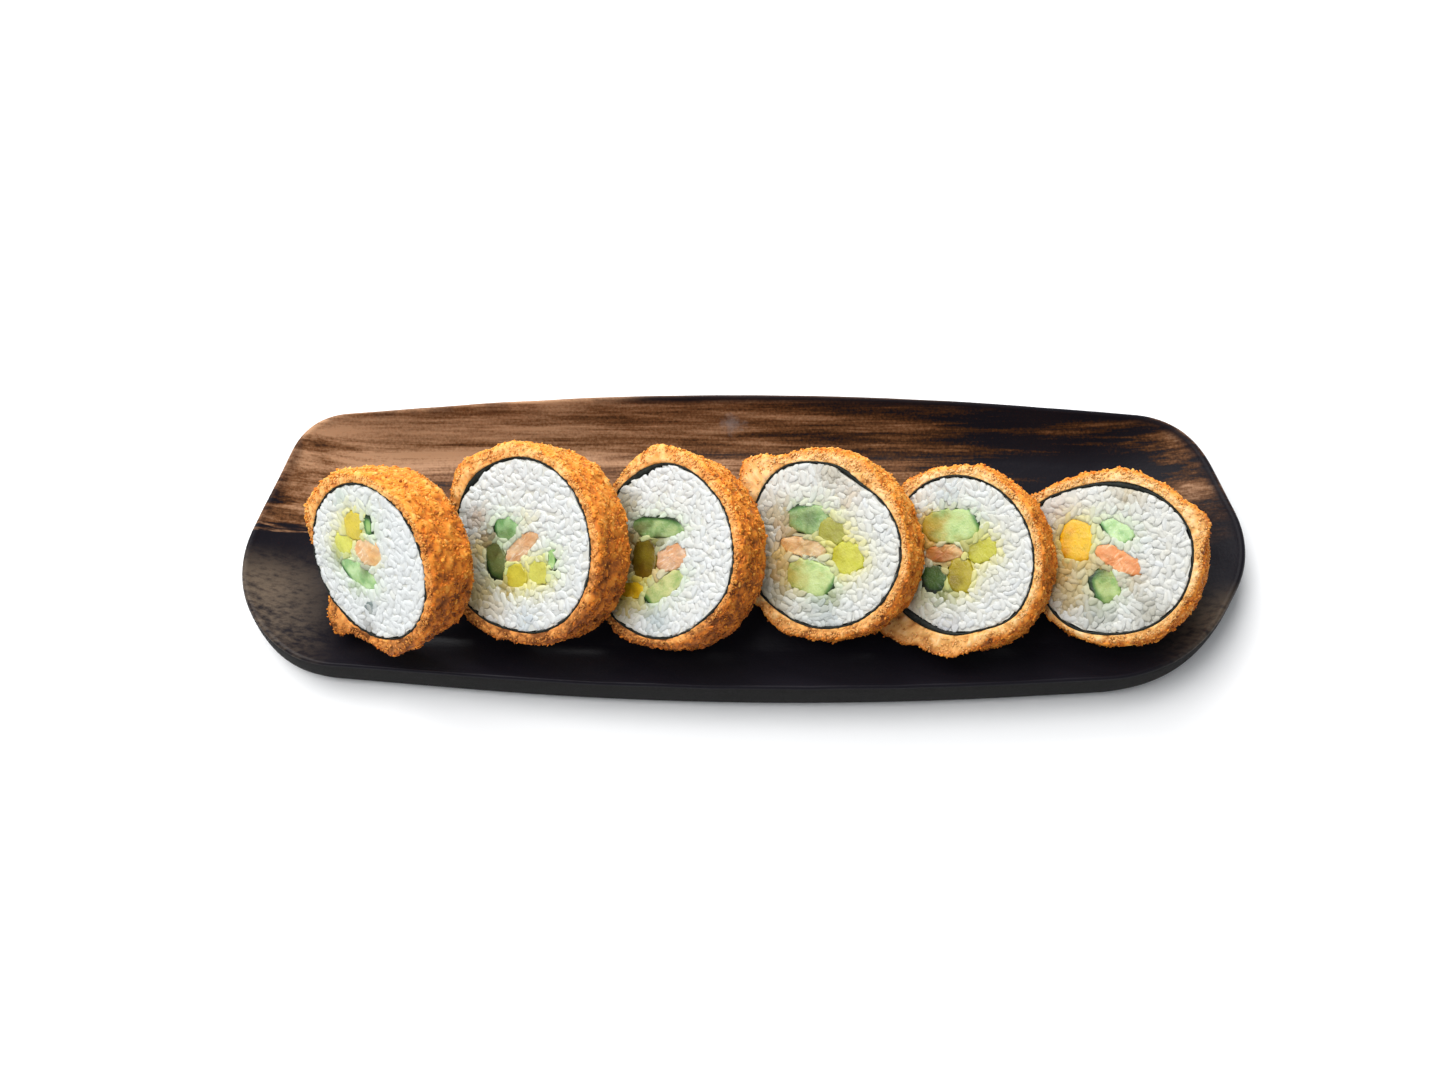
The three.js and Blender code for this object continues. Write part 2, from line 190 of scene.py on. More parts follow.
def outlineCurve(points, count=360, sigma=4.0):
    # radius of a polygon about the origin at even angles, its corners a little rounded
    angles, _ = polar(points)
    order = np.argsort(angles)
    ring = points[order]
    after = np.roll(ring, -1, axis=0)
    even = np.arange(count) * 2 * np.pi / count
    here = np.searchsorted(angles[order], even, side="right") - 1
    start, end = ring[here], after[here]
    way = np.stack([np.cos(even), np.sin(even)], 1)
    edge = end - start
    crossing = start[:, 0] * edge[:, 1] - start[:, 1] * edge[:, 0]
    slope = way[:, 0] * edge[:, 1] - way[:, 1] * edge[:, 0]
    radius = crossing / np.where(np.abs(slope) < 1e-6, 1e-6, slope)
    return closedCurve(even, np.clip(radius, 0.3, 12), count, sigma)


def readFilling(data, name):
    # outline of a filling on the cut face, and how far it reaches along the axis
    flat = toSlice(data, nodePoints(name))
    low, high = flat[:, 2].min(), flat[:, 2].max()
    inside = flat[(flat[:, 2] > low + 0.2) & (flat[:, 2] < high - 0.2)]
    body = np.unique(np.round(inside[:, :2], 1), axis=0)
    middle = (body.max(0) + body.min(0)) / 2
    return {"middle": middle, "radius": outlineCurve(body - middle), "low": low, "high": high}


def toSlice(data, points):
    return (points - data["middle"]) @ data["axes"].T


def toWorld(data, points):
    return points @ data["axes"] + data["middle"]


def seenPlace(data, points):
    # right and up on the cut face, as the camera sees them
    turn = math.radians(seenTurn[data["number"]])
    right = points[:, 0] * math.cos(turn) + points[:, 1] * math.sin(turn)
    up = points[:, 1] * math.cos(turn) - points[:, 0] * math.sin(turn)
    return right, up


def ease(values, low, high):
    share = np.clip((values - low) / (high - low), 0, 1)
    return share * share * (3 - 2 * share)


# what looks level from above on each cut face, in degrees
seenTurn = {1: -37, 2: -37, 3: -24, 4: -37, 5: -37, 6: -40}
slices = {number: readSlice(number) for number in sliceNumbers}
print("slices read", len(slices))


# Node helpers
def newMaterial(name):
    material = bpy.data.materials.new(name)
    material.use_nodes = True
    nodes = material.node_tree.nodes
    shader = nodes["Principled BSDF"]
    return material, nodes, material.node_tree.links, shader


def addNode(nodes, kind, **settings):
    node = nodes.new(kind)
    for key, value in settings.items():
        setattr(node, key, value)
    return node


def addRamp(nodes, links, source, stops):
    ramp = nodes.new("ShaderNodeValToRGB")
    elements = ramp.color_ramp.elements
    while len(elements) < len(stops):
        elements.new(0.5)
    for element, (place, colour) in zip(elements, stops):
        element.position = place
        element.color = (*colour, 1)
    links.new(source, ramp.inputs["Fac"])
    return ramp.outputs["Color"]


def addMix(nodes, links, factor, low, high, blend="MIX"):
    mix = addNode(nodes, "ShaderNodeMix", data_type="RGBA", blend_type=blend)
    for key, value in (("Factor", factor), ("A", low), ("B", high)):
        socket = mix.inputs[key]
        if isinstance(value, bpy.types.NodeSocket):
            links.new(value, socket)
        elif isinstance(value, (int, float)):
            socket.default_value = value
        else:
            socket.default_value = (*value, 1)
    return mix.outputs["Result"]


def addMath(nodes, links, operation, first, second=0.0, clamp=False):
    node = addNode(nodes, "ShaderNodeMath", operation=operation, use_clamp=clamp)
    for socket, value in zip(node.inputs, (first, second)):
        if isinstance(value, bpy.types.NodeSocket):
            links.new(value, socket)
        else:
            socket.default_value = value
    return node.outputs[0]


def addRange(nodes, links, source, low, high, outLow=0.0, outHigh=1.0):
    node = addNode(nodes, "ShaderNodeMapRange", interpolation_type="SMOOTHSTEP")
    links.new(source, node.inputs["Value"])
    keys = ("From Min", "From Max", "To Min", "To Max")
    for key, value in zip(keys, (low, high, outLow, outHigh)):
        node.inputs[key].default_value = value
    return node.outputs["Result"]


def addNoise(nodes, links, vector, scale, detail=4.0, rough=0.55, distortion=0.0):
    node = nodes.new("ShaderNodeTexNoise")
    node.inputs["Scale"].default_value = scale
    node.inputs["Detail"].default_value = detail
    node.inputs["Roughness"].default_value = rough
    node.inputs["Distortion"].default_value = distortion
    links.new(vector, node.inputs["Vector"])
    return node.outputs["Fac"]


def addBump(nodes, links, shader, height, strength, distance):
    bump = nodes.new("ShaderNodeBump")
    bump.inputs["Strength"].default_value = strength
    bump.inputs["Distance"].default_value = distance
    links.new(height, bump.inputs["Height"])
    links.new(bump.outputs["Normal"], shader.inputs["Normal"])


def addStretch(nodes, links, vector, scale, turn=(0, 0, 0)):
    mapping = nodes.new("ShaderNodeMapping")
    mapping.inputs["Scale"].default_value = scale
    mapping.inputs["Rotation"].default_value = turn
    links.new(vector, mapping.inputs["Vector"])
    return mapping.outputs["Vector"]


def readAttribute(nodes, key, output="Fac"):
    return addNode(nodes, "ShaderNodeAttribute", attribute_name=key).outputs[output]


def objectPlace(nodes):
    return nodes.new("ShaderNodeTexCoord").outputs["Object"]


# Group: soft mottling of a surface, from coarse patches and fine specks
def makeMottleGroup():
    group = bpy.data.node_groups.new("mottle", "ShaderNodeTree")
    interface = group.interface
    interface.new_socket(name="Place", in_out="INPUT", socket_type="NodeSocketVector")
    interface.new_socket(name="Patch Scale", in_out="INPUT", socket_type="NodeSocketFloat")
    interface.new_socket(name="Speck Scale", in_out="INPUT", socket_type="NodeSocketFloat")
    interface.new_socket(name="Patches", in_out="OUTPUT", socket_type="NodeSocketFloat")
    interface.new_socket(name="Specks", in_out="OUTPUT", socket_type="NodeSocketFloat")
    nodes, links = group.nodes, group.links
    enter = nodes.new("NodeGroupInput")
    leave = nodes.new("NodeGroupOutput")
    patch = nodes.new("ShaderNodeTexNoise")
    patch.inputs["Detail"].default_value = 3
    speck = nodes.new("ShaderNodeTexNoise")
    speck.inputs["Detail"].default_value = 6
    speck.inputs["Roughness"].default_value = 0.62
    for node, key in ((patch, "Patch Scale"), (speck, "Speck Scale")):
        links.new(enter.outputs["Place"], node.inputs["Vector"])
        links.new(enter.outputs[key], node.inputs["Scale"])
    links.new(patch.outputs["Fac"], leave.inputs["Patches"])
    links.new(speck.outputs["Fac"], leave.inputs["Specks"])
    return group


mottleGroup = makeMottleGroup()


def addMottle(nodes, links, patchScale, speckScale):
    node = addNode(nodes, "ShaderNodeGroup", node_tree=mottleGroup)
    links.new(objectPlace(nodes), node.inputs["Place"])
    node.inputs["Patch Scale"].default_value = patchScale
    node.inputs["Speck Scale"].default_value = speckScale
    return node.outputs["Patches"], node.outputs["Specks"]


# Plate: the same outline and bands as the CAD plate, made finer and a little hand-made
plateShape = {
    "corners": [  # x, y, rounding length, from the right end anticlockwise
        (141, -2.3, 13), (124.7, 36.2, 15), (0, 45.4, 73), (-120.4, 36.9, 11),
        (-140, -10.8, 17), (-122.5, -34.6, 12.5), (0, -45.2, 76), (121, -38.4, 24),
    ],
    "rimHeight": 17, "endDip": 3, "floorHeight": 6, "slopePower": 1.6, "slopeTop": 0.985,
    "lipDrop": 0.3,  # how far the slope starts below the lip
    "floorShare": (0.82, 0.66), "lipShare": (0.985, 0.962), "floorRings": (0.9, 0.75, 0.55, 0.3),
    # foot to lip: share of x, share of y, height above the foot, share of the rim's height
    "wall": [
        (0.94, 0.955, 0, 0), (0.957, 0.969, 0.35, 0), (0.975, 0.982, 1.5, 0), (0.992, 0.995, 3.2, 0),
        (1, 1, 5, 0), (1, 0.998, -7, 1), (0.9988, 0.994, -4, 1), (0.9975, 0.99, -1.6, 1),
        (0.9962, 0.987, -0.9, 1), (0.994, 0.983, -0.4, 1), (0.991, 0.976, -0.1, 1), (0.988, 0.968, 0, 1),
    ],
    "glazedRows": 4,  # rows of the wall, from the lip down, that are glazed
    "around": 420, "slopeRings": 34, "wave": 0.28, "rimWave": 0.35, "sunk": 0.1, "ripple": 0.12,
    # the dark line on the rear rim: rows wide, where it starts and is full along x, and its dashes
    "rimLine": {"rows": 2.2, "from": -45, "full": -25, "dashes": 0.35, "dashLength": 9},
}


def plateRim(shape):
    corners = np.array([corner[:2] for corner in shape["corners"]], float)
    points = []
    for i, here in enumerate(corners):
        reach = shape["corners"][i][2]
        before = corners[i - 1]
        after = corners[(i + 1) % len(corners)]
        start = here + (before - here) / np.linalg.norm(before - here) * reach
        end = here + (after - here) / np.linalg.norm(after - here) * reach
        for t in np.linspace(0, 1, 40):
            points.append((1 - t) ** 2 * start + 2 * t * (1 - t) * here + t * t * end)
    points = np.array(points)
    points -= (points.max(0) + points.min(0)) / 2
    steps = np.linalg.norm(np.diff(points, axis=0, append=points[:1]), axis=1)
    path = np.concatenate([[0], np.cumsum(steps)])
    even = np.linspace(0, path[-1], shape["around"], endpoint=False)
    closed = np.vstack([points, points[:1]])
    return np.stack([np.interp(even, path, closed[:, 0]), np.interp(even, path, closed[:, 1])], 1)


def makePlate(materials):
    shape = plateShape
    rim = plateRim(shape)
    lip = shape["rimHeight"] - shape["endDip"] * np.abs(rim[:, 0] / rim[:, 0].max()) ** 4
    rings = []
    for shareX, shareY, height, share in shape["wall"]:
        rings.append(np.stack([rim[:, 0] * shareX, rim[:, 1] * shareY, height + share * lip], 1))
    floorShare = np.array(shape["floorShare"])
    widening = np.array(shape["lipShare"]) - floorShare
    rise = lip - shape["lipDrop"] - shape["floorHeight"]
    for step in np.linspace(shape["slopeTop"], 0, shape["slopeRings"]):
        height = shape["floorHeight"] + rise * step ** shape["slopePower"]
        rings.append(np.column_stack([rim * (floorShare + widening * step), height]))
    floor = rings[-1]
    for share in shape["floorRings"]:
        rings.append(np.stack([floor[:, 0] * share, floor[:, 1] * share, floor[:, 2]], 1))
    rings = handMade(np.array(rings), shape)
    points, faces = skinRings(rings)
    # the wall and the underside are bare, the rest is glazed
    bareRows = len(shape["wall"]) - shape["glazedRows"]
    bare = np.zeros(sum(len(group) for group in faces))
    bare[:bareRows * shape["around"]] = 1
    bare[len(faces[0]):len(faces[0]) + shape["around"]] = 1
    piece = addMesh("plateGlazed", points, faces, materials, faceMaterials=bare,
                    values={"edgeDark": rimLine(points, shape)})
    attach(piece, "root")
    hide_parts("plate")


def rimLine(points, shape):
    # a dark line on the rear lip, broken into dashes further left
    line = shape["rimLine"]
    row = np.arange(len(points)) // shape["around"]
    lipRow = len(shape["wall"]) - 0.5
    onLip = np.exp(-((row - lipRow) / line["rows"]) ** 2) * (points[:, 1] > 0)
    dashes = ease(roughness(points * (1, 0, 0) + 7, line["dashLength"], 3), -0.1, 0.1)
    full = ease(points[:, 0], line["from"], line["full"])
    return onLip * np.maximum(full, line["dashes"] * dashes)


def handMade(rings, shape):
    # slow waves in the rim and faint ripples inside, none on the foot
    flat = rings.reshape(-1, 3)
    lift = np.clip(flat[:, 2] / shape["rimHeight"], 0, 1)
    slow = roughness(flat, 26, 2)
    fine = roughness(flat + 50, 7, 2)
    inside = np.arange(len(flat)) // rings.shape[1] >= len(shape["wall"])
    ripples = np.where(inside, shape["ripple"] * fine - shape["sunk"], 0) * (flat[:, 2] > 1)
    flat[:, 2] += ripples + shape["wave"] * slow * lift ** 2
    outward = flat[:, :2] / np.maximum(np.linalg.norm(flat[:, :2], axis=1, keepdims=True), 1)
    flat[:, :2] -= outward * (shape["rimWave"] * np.abs(slow) * lift ** 2)[:, None]
    return flat.reshape(rings.shape)


glazeLook = {
    "dark": (0.0092, 0.0082, 0.0115), "deepBrown": (0.050, 0.021, 0.009),
    "brown": (0.150, 0.066, 0.028), "light": (0.40, 0.225, 0.125),
    # the grey-brown of the front ends is wear with painted sheen
    "worn": (0.125, 0.093, 0.066), "blemish": (0.24, 0.21, 0.20),
    # stretch of the streaks: long along the plate, narrow across it
    "wideStreaks": (13, 250, 90), "fineStreaks": (50, 1100, 400), "fineShare": 0.30,
    "patches": (18, 60, 30), "speckleScale": 1400, "speckle": 0.16,
    # how light the rear is along the plate, from the left tip to the right tip
    "rearAlong": [
        (0.0, 0.54), (0.10, 0.94), (0.30, 0.90), (0.46, 0.74), (0.58, 0.66), (0.66, 0.54),
        (0.73, 0.20), (0.79, 0.0), (0.90, 0.0), (0.94, 0.56), (1.0, 0.38),
    ],
    "rearMiddle": 0.72, "rearChange": 0.24,
    "tips": (-0.137, 0.137), "edgeY": 0.0055,  # metres: the brown ends here towards the viewer
    "edgeWander": 0.014, "fadeFrom": (0.06, 0.10),
    "blemishAt": (-0.003, 0.034, 0.012), "blemishSize": 0.0040, "blemishStrength": 0.6,
    "wornFrom": (0.108, 0.132), "wornSpokes": (420, 900, 60), "wornTurn": 0.6, "wornLower": 0.011,
    "roughness": (0.28, 0.44), "specular": 0.07,
    "outside": (0.0085, 0.008, 0.008), "outsideFleck": 1.9,
    "outsideRoughness": 0.7, "outsideSpecular": 0.05,
}


def glazeStreaks(nodes, links, x, wide, fine, speckle):
    # brown streaks as in burnt wood, lighter and darker along the plate
    look = glazeLook
    grain = addMix(nodes, links, look["fineShare"], wide, fine)
    grain = addMix(nodes, links, look["speckle"], grain, speckle)
    along = addRange(nodes, links, x, *look["tips"])
    along.node.interpolation_type = "LINEAR"
    stops = [(spot, (value,) * 3) for spot, value in look["rearAlong"]]
    strength = addMath(nodes, links, "SUBTRACT", addRamp(nodes, links, along, stops), look["rearMiddle"])
    lift = addMath(nodes, links, "MULTIPLY", strength, look["rearChange"])
    lightness = addMath(nodes, links, "ADD", grain, lift)
    return addRamp(nodes, links, lightness, [
        (0.37, look["dark"]), (0.43, look["deepBrown"]), (0.50, look["brown"]), (0.62, look["light"])])


def glazeRear(nodes, links, x, y, wide):
    # 1 where the plate is brown: it stops at a ragged line, sharp on the left and faded on the right
    look = glazeLook
    edge = look["edgeY"]
    wander = addMath(nodes, links, "SUBTRACT", wide, 0.5)
    wander = addMath(nodes, links, "MULTIPLY", wander, look["edgeWander"])
    ragged = addMath(nodes, links, "ADD", y, wander)
    sharp = addRange(nodes, links, ragged, edge - 0.0008, edge + 0.0010)
    faded = addRange(nodes, links, ragged, edge - 0.006, edge + 0.014)
    return addMix(nodes, links, addRange(nodes, links, x, *look["fadeFrom"]), sharp, faded)


def glazeBlemish(nodes, links, place):
    # a small pale blemish near the rear rim
    look = glazeLook
    away = addNode(nodes, "ShaderNodeVectorMath", operation="DISTANCE")
    links.new(place, away.inputs[0])
    away.inputs[1].default_value = look["blemishAt"]
    uneven = addMath(nodes, links, "MULTIPLY", addNoise(nodes, links, place, 420, 3, 0.6), 0.006)
    star = addMath(nodes, links, "ADD", away.outputs["Value"], uneven)
    size = look["blemishSize"]
    return addRange(nodes, links, star, size * 1.9, size * 1.1, 0.0, look["blemishStrength"])


def glazeWearAndSheen(nodes, links, place, x, y, patches):
    # streaks of wear with painted sheen run out of both ends in front, lower down at the right
    look = glazeLook
    edge = look["edgeY"]
    ends = addRange(nodes, links, addMath(nodes, links, "ABSOLUTE", x), *look["wornFrom"])
    lower = addRange(nodes, links, x, -0.06, 0.06, 0.0, look["wornLower"])
    front = addRange(nodes, links, addMath(nodes, links, "ADD", y, lower), edge - 0.004, edge - 0.018)
    stretched = addStretch(nodes, links, place, look["wornSpokes"], (0, 0, look["wornTurn"]))
    spokes = addNoise(nodes, links, stretched, 1.0, 4, 0.6)
    broken = addRange(nodes, links, addMix(nodes, links, 0.5, spokes, patches), 0.36, 0.62)
    return addMath(nodes, links, "MULTIPLY", addMath(nodes, links, "MULTIPLY", ends, front), broken)


def makeGlaze():
    look = glazeLook
    material, nodes, links, shader = newMaterial("glazeStreaked")
    place = objectPlace(nodes)
    axes = nodes.new("ShaderNodeSeparateXYZ")
    links.new(place, axes.inputs["Vector"])
    x, y = axes.outputs["X"], axes.outputs["Y"]
    widePlace = addStretch(nodes, links, place, look["wideStreaks"])
    wide = addNoise(nodes, links, widePlace, 1.0, 4, 0.62, 0.5)
    finePlace = addStretch(nodes, links, place, look["fineStreaks"])
    fine = addNoise(nodes, links, finePlace, 1.0, 4, 0.6, 0.3)
    speckle = addNoise(nodes, links, place, look["speckleScale"], 2, 0.6)
    patches = addNoise(nodes, links, addStretch(nodes, links, place, look["patches"]), 1.0, 3)
    wood = glazeStreaks(nodes, links, x, wide, fine, speckle)
    colour = addMix(nodes, links, glazeRear(nodes, links, x, y, wide), look["dark"], wood)
    colour = addMix(nodes, links, readAttribute(nodes, "edgeDark"), colour, look["dark"])
    colour = addMix(nodes, links, glazeBlemish(nodes, links, place), colour, look["blemish"])
    worn = glazeWearAndSheen(nodes, links, place, x, y, patches)
    # wear with painted sheen on both front ends
    colour = addMix(nodes, links, worn, colour, look["worn"])
    links.new(colour, shader.inputs["Base Color"])
    rough = addRange(nodes, links, patches, 0.3, 0.7, *look["roughness"])
    links.new(rough, shader.inputs["Roughness"])
    shader.inputs["Specular IOR Level"].default_value = look["specular"]
    addBump(nodes, links, shader, addMix(nodes, links, 0.5, fine, speckle), 0.3, 0.0004)
    return material


def makeOutside():
    look = glazeLook
    material, nodes, links, shader = newMaterial("stoneDark")
    _, specks = addMottle(nodes, links, 90, 1600)
    fleck = tuple(look["outsideFleck"] * value for value in look["outside"])
    colour = addMix(nodes, links, addRange(nodes, links, specks, 0.4, 0.7), look["outside"], fleck)
    links.new(colour, shader.inputs["Base Color"])
    shader.inputs["Roughness"].default_value = look["outsideRoughness"]
    shader.inputs["Specular IOR Level"].default_value = look["outsideSpecular"]
    addBump(nodes, links, shader, specks, 0.3, 0.0002)
    return material


# Crust
crustLook = {
    # the fried outside, from burnt to pale
    "deep": (0.15, 0.042, 0.009), "brown": (0.34, 0.098, 0.018), "orange": (0.60, 0.170, 0.018),
    "gold": (0.75, 0.275, 0.034), "pale": (0.80, 0.42, 0.105),
    # the crumb on the cut rings
    "cutDark": (0.30, 0.115, 0.03), "cutMiddle": (0.57, 0.27, 0.075),
    "cutGold": (0.71, 0.395, 0.135), "cutPale": (0.78, 0.52, 0.26),
    # from the left: how pale each slice's cut ring is, how much lighter it is fried,
    # and how much lighter its top is than its bottom, as painted light on top and painted shade below
    "cutShare": (0.35, 0.45, 0.50, 0.8, 1.0, 1.0), "lift": (-0.01, -0.02, -0.03, 0.07, 0.03, 0.05),
    "topper": (0.20, 0.22, 0.22, 0.16, 0.08, 0.07),
    # how the relief shades the crust: in general, on lumps, in crags, on grains
    "shade": (0.50, 0.30, -0.62, 0.26), "crumbShade": (0.54, 0.14),
    "patchScale": 170, "speckScale": 1500, "speckShare": 0.35, "mottle": 0.75, "mottleMiddle": 0.48,
    "roughness": 0.68, "specular": 0.16,
}
crustShape = {
    "around": 320, "side": 30, "cut": 9, "rounding": 0.8, "bevel": 0.6, "cutFall": 0.3, "gap": 0.12,
    "lump": 0.50, "crag": 0.54, "grain": 0.20, "cutRelief": 0.50,
    "lumpSize": 3.8, "cragSize": 2.5, "grainSize": 0.8,
    "flakes": 420, "crumbs": 1700, "cutCrumbs": 1500, "tilt": 0.42,
    # half sizes: ranges of length, width and thickness
    "flakeSizes": ((0.4, 0.95), (0.3, 0.55), (0.18, 0.36)),
    "crumbSizes": ((0.2, 0.5), (0.16, 0.34), (0.12, 0.26)),
}


def makeCrustMaterial():
    look = crustLook
    material, nodes, links, shader = newMaterial("crustFried")
    patches, specks = addMottle(nodes, links, look["patchScale"], look["speckScale"])
    mottle = addMix(nodes, links, look["speckShare"], patches, specks)
    mottle = addMath(nodes, links, "SUBTRACT", mottle, look["mottleMiddle"])
    mottle = addMath(nodes, links, "MULTIPLY", mottle, look["mottle"])
    level = addMath(nodes, links, "ADD", readAttribute(nodes, "shade"), mottle)
    fried = addRamp(nodes, links, level, [
        (0.05, look["deep"]), (0.25, look["brown"]), (0.46, look["orange"]), (0.72, look["gold"]),
        (0.98, look["pale"])])
    crumb = addRamp(nodes, links, level, [
        (0.04, look["cutDark"]), (0.26, look["cutMiddle"]), (0.52, look["cutGold"]),
        (0.85, look["cutPale"])])
    colour = addMix(nodes, links, readAttribute(nodes, "cut"), fried, crumb)
    links.new(colour, shader.inputs["Base Color"])
    shader.inputs["Roughness"].default_value = look["roughness"]
    shader.inputs["Specular IOR Level"].default_value = look["specular"]
    shader.inputs["Subsurface Weight"].default_value = 0.2
    shader.inputs["Subsurface Radius"].default_value = (1.0, 0.4, 0.12)
    shader.inputs["Subsurface Scale"].default_value = 0.001
    addBump(nodes, links, shader, specks, 0.4, 0.0003)
    return material


def crustRadius(data, angles, along):
    # radius of the crust's outside, between the six CAD rows
    rows = np.array([readCurve(row, angles) for row in data["crustRows"]])
    level = np.interp(np.asarray(along), [-1, -0.6, -0.2, 0.22, 0.62, 1], np.arange(6)[::-1])
    low = np.clip(np.floor(level).astype(int), 0, 4)
    part = level - low
    index = np.arange(len(angles))
    return rows[low, index] * (1 - part) + rows[low + 1, index] * part


def crustLumps(world):
    # how far the fried surface stands out, and the noises it is made of
    shape = crustShape
    lump = roughness(world, shape["lumpSize"], 2)
    crag = cells(world, shape["cragSize"]) - 0.45
    grain = roughness(world + 31, shape["grainSize"], 2)
    push = shape["lump"] * lump - shape["crag"] * crag + shape["grain"] * grain
    return push, lump, crag, grain


def friedAndPaintedLight(data, points):
    # how much lighter the crust is here than usual: fried lighter per slice, plus painted light at the
    # top and painted shade at the bottom
    index = data["number"] - 1
    upward = np.clip(seenPlace(data, points)[1] / 22, -1, 1)
    return crustLook["lift"][index] + crustLook["topper"][index] * upward


def crustProfile():
    # share of the way out from the seaweed, and place along the axis from 1 at the front to -1
    shares = np.linspace(0, 0.95, crustShape["cut"])
    sides = np.linspace(0.94, -0.94, crustShape["side"])
    return ([(share, 1.0) for share in shares] + [(1.0, row) for row in sides]
            + [(share, -1.0) for share in shares[::-1]])


def makeCrust(data, material):
    shape = crustShape
    half = data["half"]
    count = shape["around"]
    angles = np.arange(count) * 2 * np.pi / count
    inner = readCurve(data["noriOuter"], angles) + shape["gap"]
    rings, outside = [], []
    for share, row in crustProfile():
        outer = crustRadius(data, angles, np.full(count, row))
        if share == 1:
            # the fried side, rounded off towards both cut faces
            edge = max(0.0, 1 - (1 - abs(row)) * half / shape["rounding"])
            along = row * half - 0.35 * np.sign(row) * edge
        else:
            edge = 1
            along = np.sign(row) * (half - shape["cutFall"] * share ** 3)
        radius = inner + (outer - inner - shape["bevel"] * edge ** 2) * share
        along = along - tornBack(data, angles, row)
        rings.append(np.stack([radius * np.cos(angles), radius * np.sin(angles), along], 1))
        outside.append(np.full(count, share ** 5))
    rings = np.array(rings[::-1])
    outside = np.array(outside[::-1]).ravel()
    flat = rings.reshape(-1, 3)
    push, lump, crag, grain = crustLumps(toWorld(data, flat))
    angle, radius = polar(flat)
    radius = radius + outside * push
    relief = shape["cutRelief"] * (grain + 0.8 * lump - 1.1 * crag)
    facing = np.repeat([-1.0, 1.0], len(flat) // 2)
    flat[:, 2] += (1 - outside) * facing * relief
    flat[:, 0] = radius * np.cos(angle)
    flat[:, 1] = radius * np.sin(angle)
    points, faces = skinRings(flat.reshape(rings.shape), joined=True)
    general, onLumps, inCrags, onGrains = crustLook["shade"]
    shade = general + onLumps * lump + inCrags * crag + onGrains * grain
    # adds painted light at the top and painted shade at the bottom
    shade = np.clip(shade + friedAndPaintedLight(data, points), 0, 1)
    cut = (1 - outside) * crustLook["cutShare"][data["number"] - 1]
    piece = addMesh(f"crustBody{data['number']}", toWorld(data, points), faces, [material],
                    values={"shade": shade, "cut": cut})
    dress(piece, data, "crust")


def shardTemplates(draw, kinds, level):
    # irregular crumbs: a ball with its points moved at random
    work = bmesh.new()
    bmesh.ops.create_icosphere(work, subdivisions=level, radius=1)
    points = np.array([corner.co[:] for corner in work.verts])
    faces = np.array([[corner.index for corner in face.verts] for face in work.faces])
    work.free()
    shapes = []
    for _ in range(kinds):
        offset = draw.uniform(-50, 50, 3)
        knobs = 1 + 0.35 * roughness(points * 1.3 + offset, 1.0, 2)[:, None]
        jitter = draw.normal(0, 0.06 if level > 1 else 0.16, points.shape)
        shapes.append(points * knobs + jitter)
    return shapes, faces


def scatter(templates, faces, places, frames, sizes):
    # copies of the templates joined into one mesh; each frame is three rows of axes
    corners = len(templates[0])
    picks = np.arange(len(places)) % len(templates)
    body = np.array(templates)[picks] * sizes[:, None, :]
    points = np.einsum("nij,njk->nik", body, frames) + places[:, None, :]
    allFaces = faces[None] + (np.arange(len(places)) * corners)[:, None, None]
    return points, allFaces.reshape(-1, faces.shape[1])


def randomFrames(draw, normals, tilt):
    # axes with the third near the normal, and a random heading
    lean = normals + draw.normal(0, tilt, normals.shape)
    third = lean / np.linalg.norm(lean, axis=1, keepdims=True)
    side = np.cross(third, draw.normal(0, 1, normals.shape))
    first = side / np.linalg.norm(side, axis=1, keepdims=True)
    return np.stack([first, np.cross(third, first), third], 1)


def sidePlaces(data, draw, count):
    # places and normals on the fried outside
    angles = draw.uniform(0, 2 * np.pi, count)
    along = draw.uniform(-0.98, 0.98, count)
    radius = crustRadius(data, angles, along) - 0.55 * np.clip((np.abs(along) - 0.88) / 0.12, 0, 1)
    height = along * data["half"] - tornBack(data, angles, along)
    flat = np.stack([radius * np.cos(angles), radius * np.sin(angles), height], 1)
    normals = np.stack([np.cos(angles), np.sin(angles), np.zeros(count)], 1)
    push = crustLumps(toWorld(data, flat))[0] + draw.uniform(-0.12, 0.16, count)
    return flat + normals * push[:, None], normals, np.zeros(count)


def cutPlaces(data, draw, count):
    # places and normals on both cut rings of the crust, more of them towards the outside
    angles = draw.uniform(0, 2 * np.pi, count)
    side = np.where(draw.uniform(0, 1, count) < 0.62, 1.0, -1.0)
    share = draw.uniform(0, 1, count) ** 0.6 * 0.97
    inner = readCurve(data["noriOuter"], angles) + 0.45
    radius = inner + (crustRadius(data, angles, side) - 0.5 - inner) * share
    along = side * (data["half"] - 0.3 * share ** 3 + draw.uniform(-0.05, 0.12, count))
    along = along - tornBack(data, angles, side)
    flat = np.stack([radius * np.cos(angles), radius * np.sin(angles), along], 1)
    normals = np.stack([0.3 * np.cos(angles), 0.3 * np.sin(angles), side], 1)
    return flat, normals, 0.85 - 0.6 * share ** 3


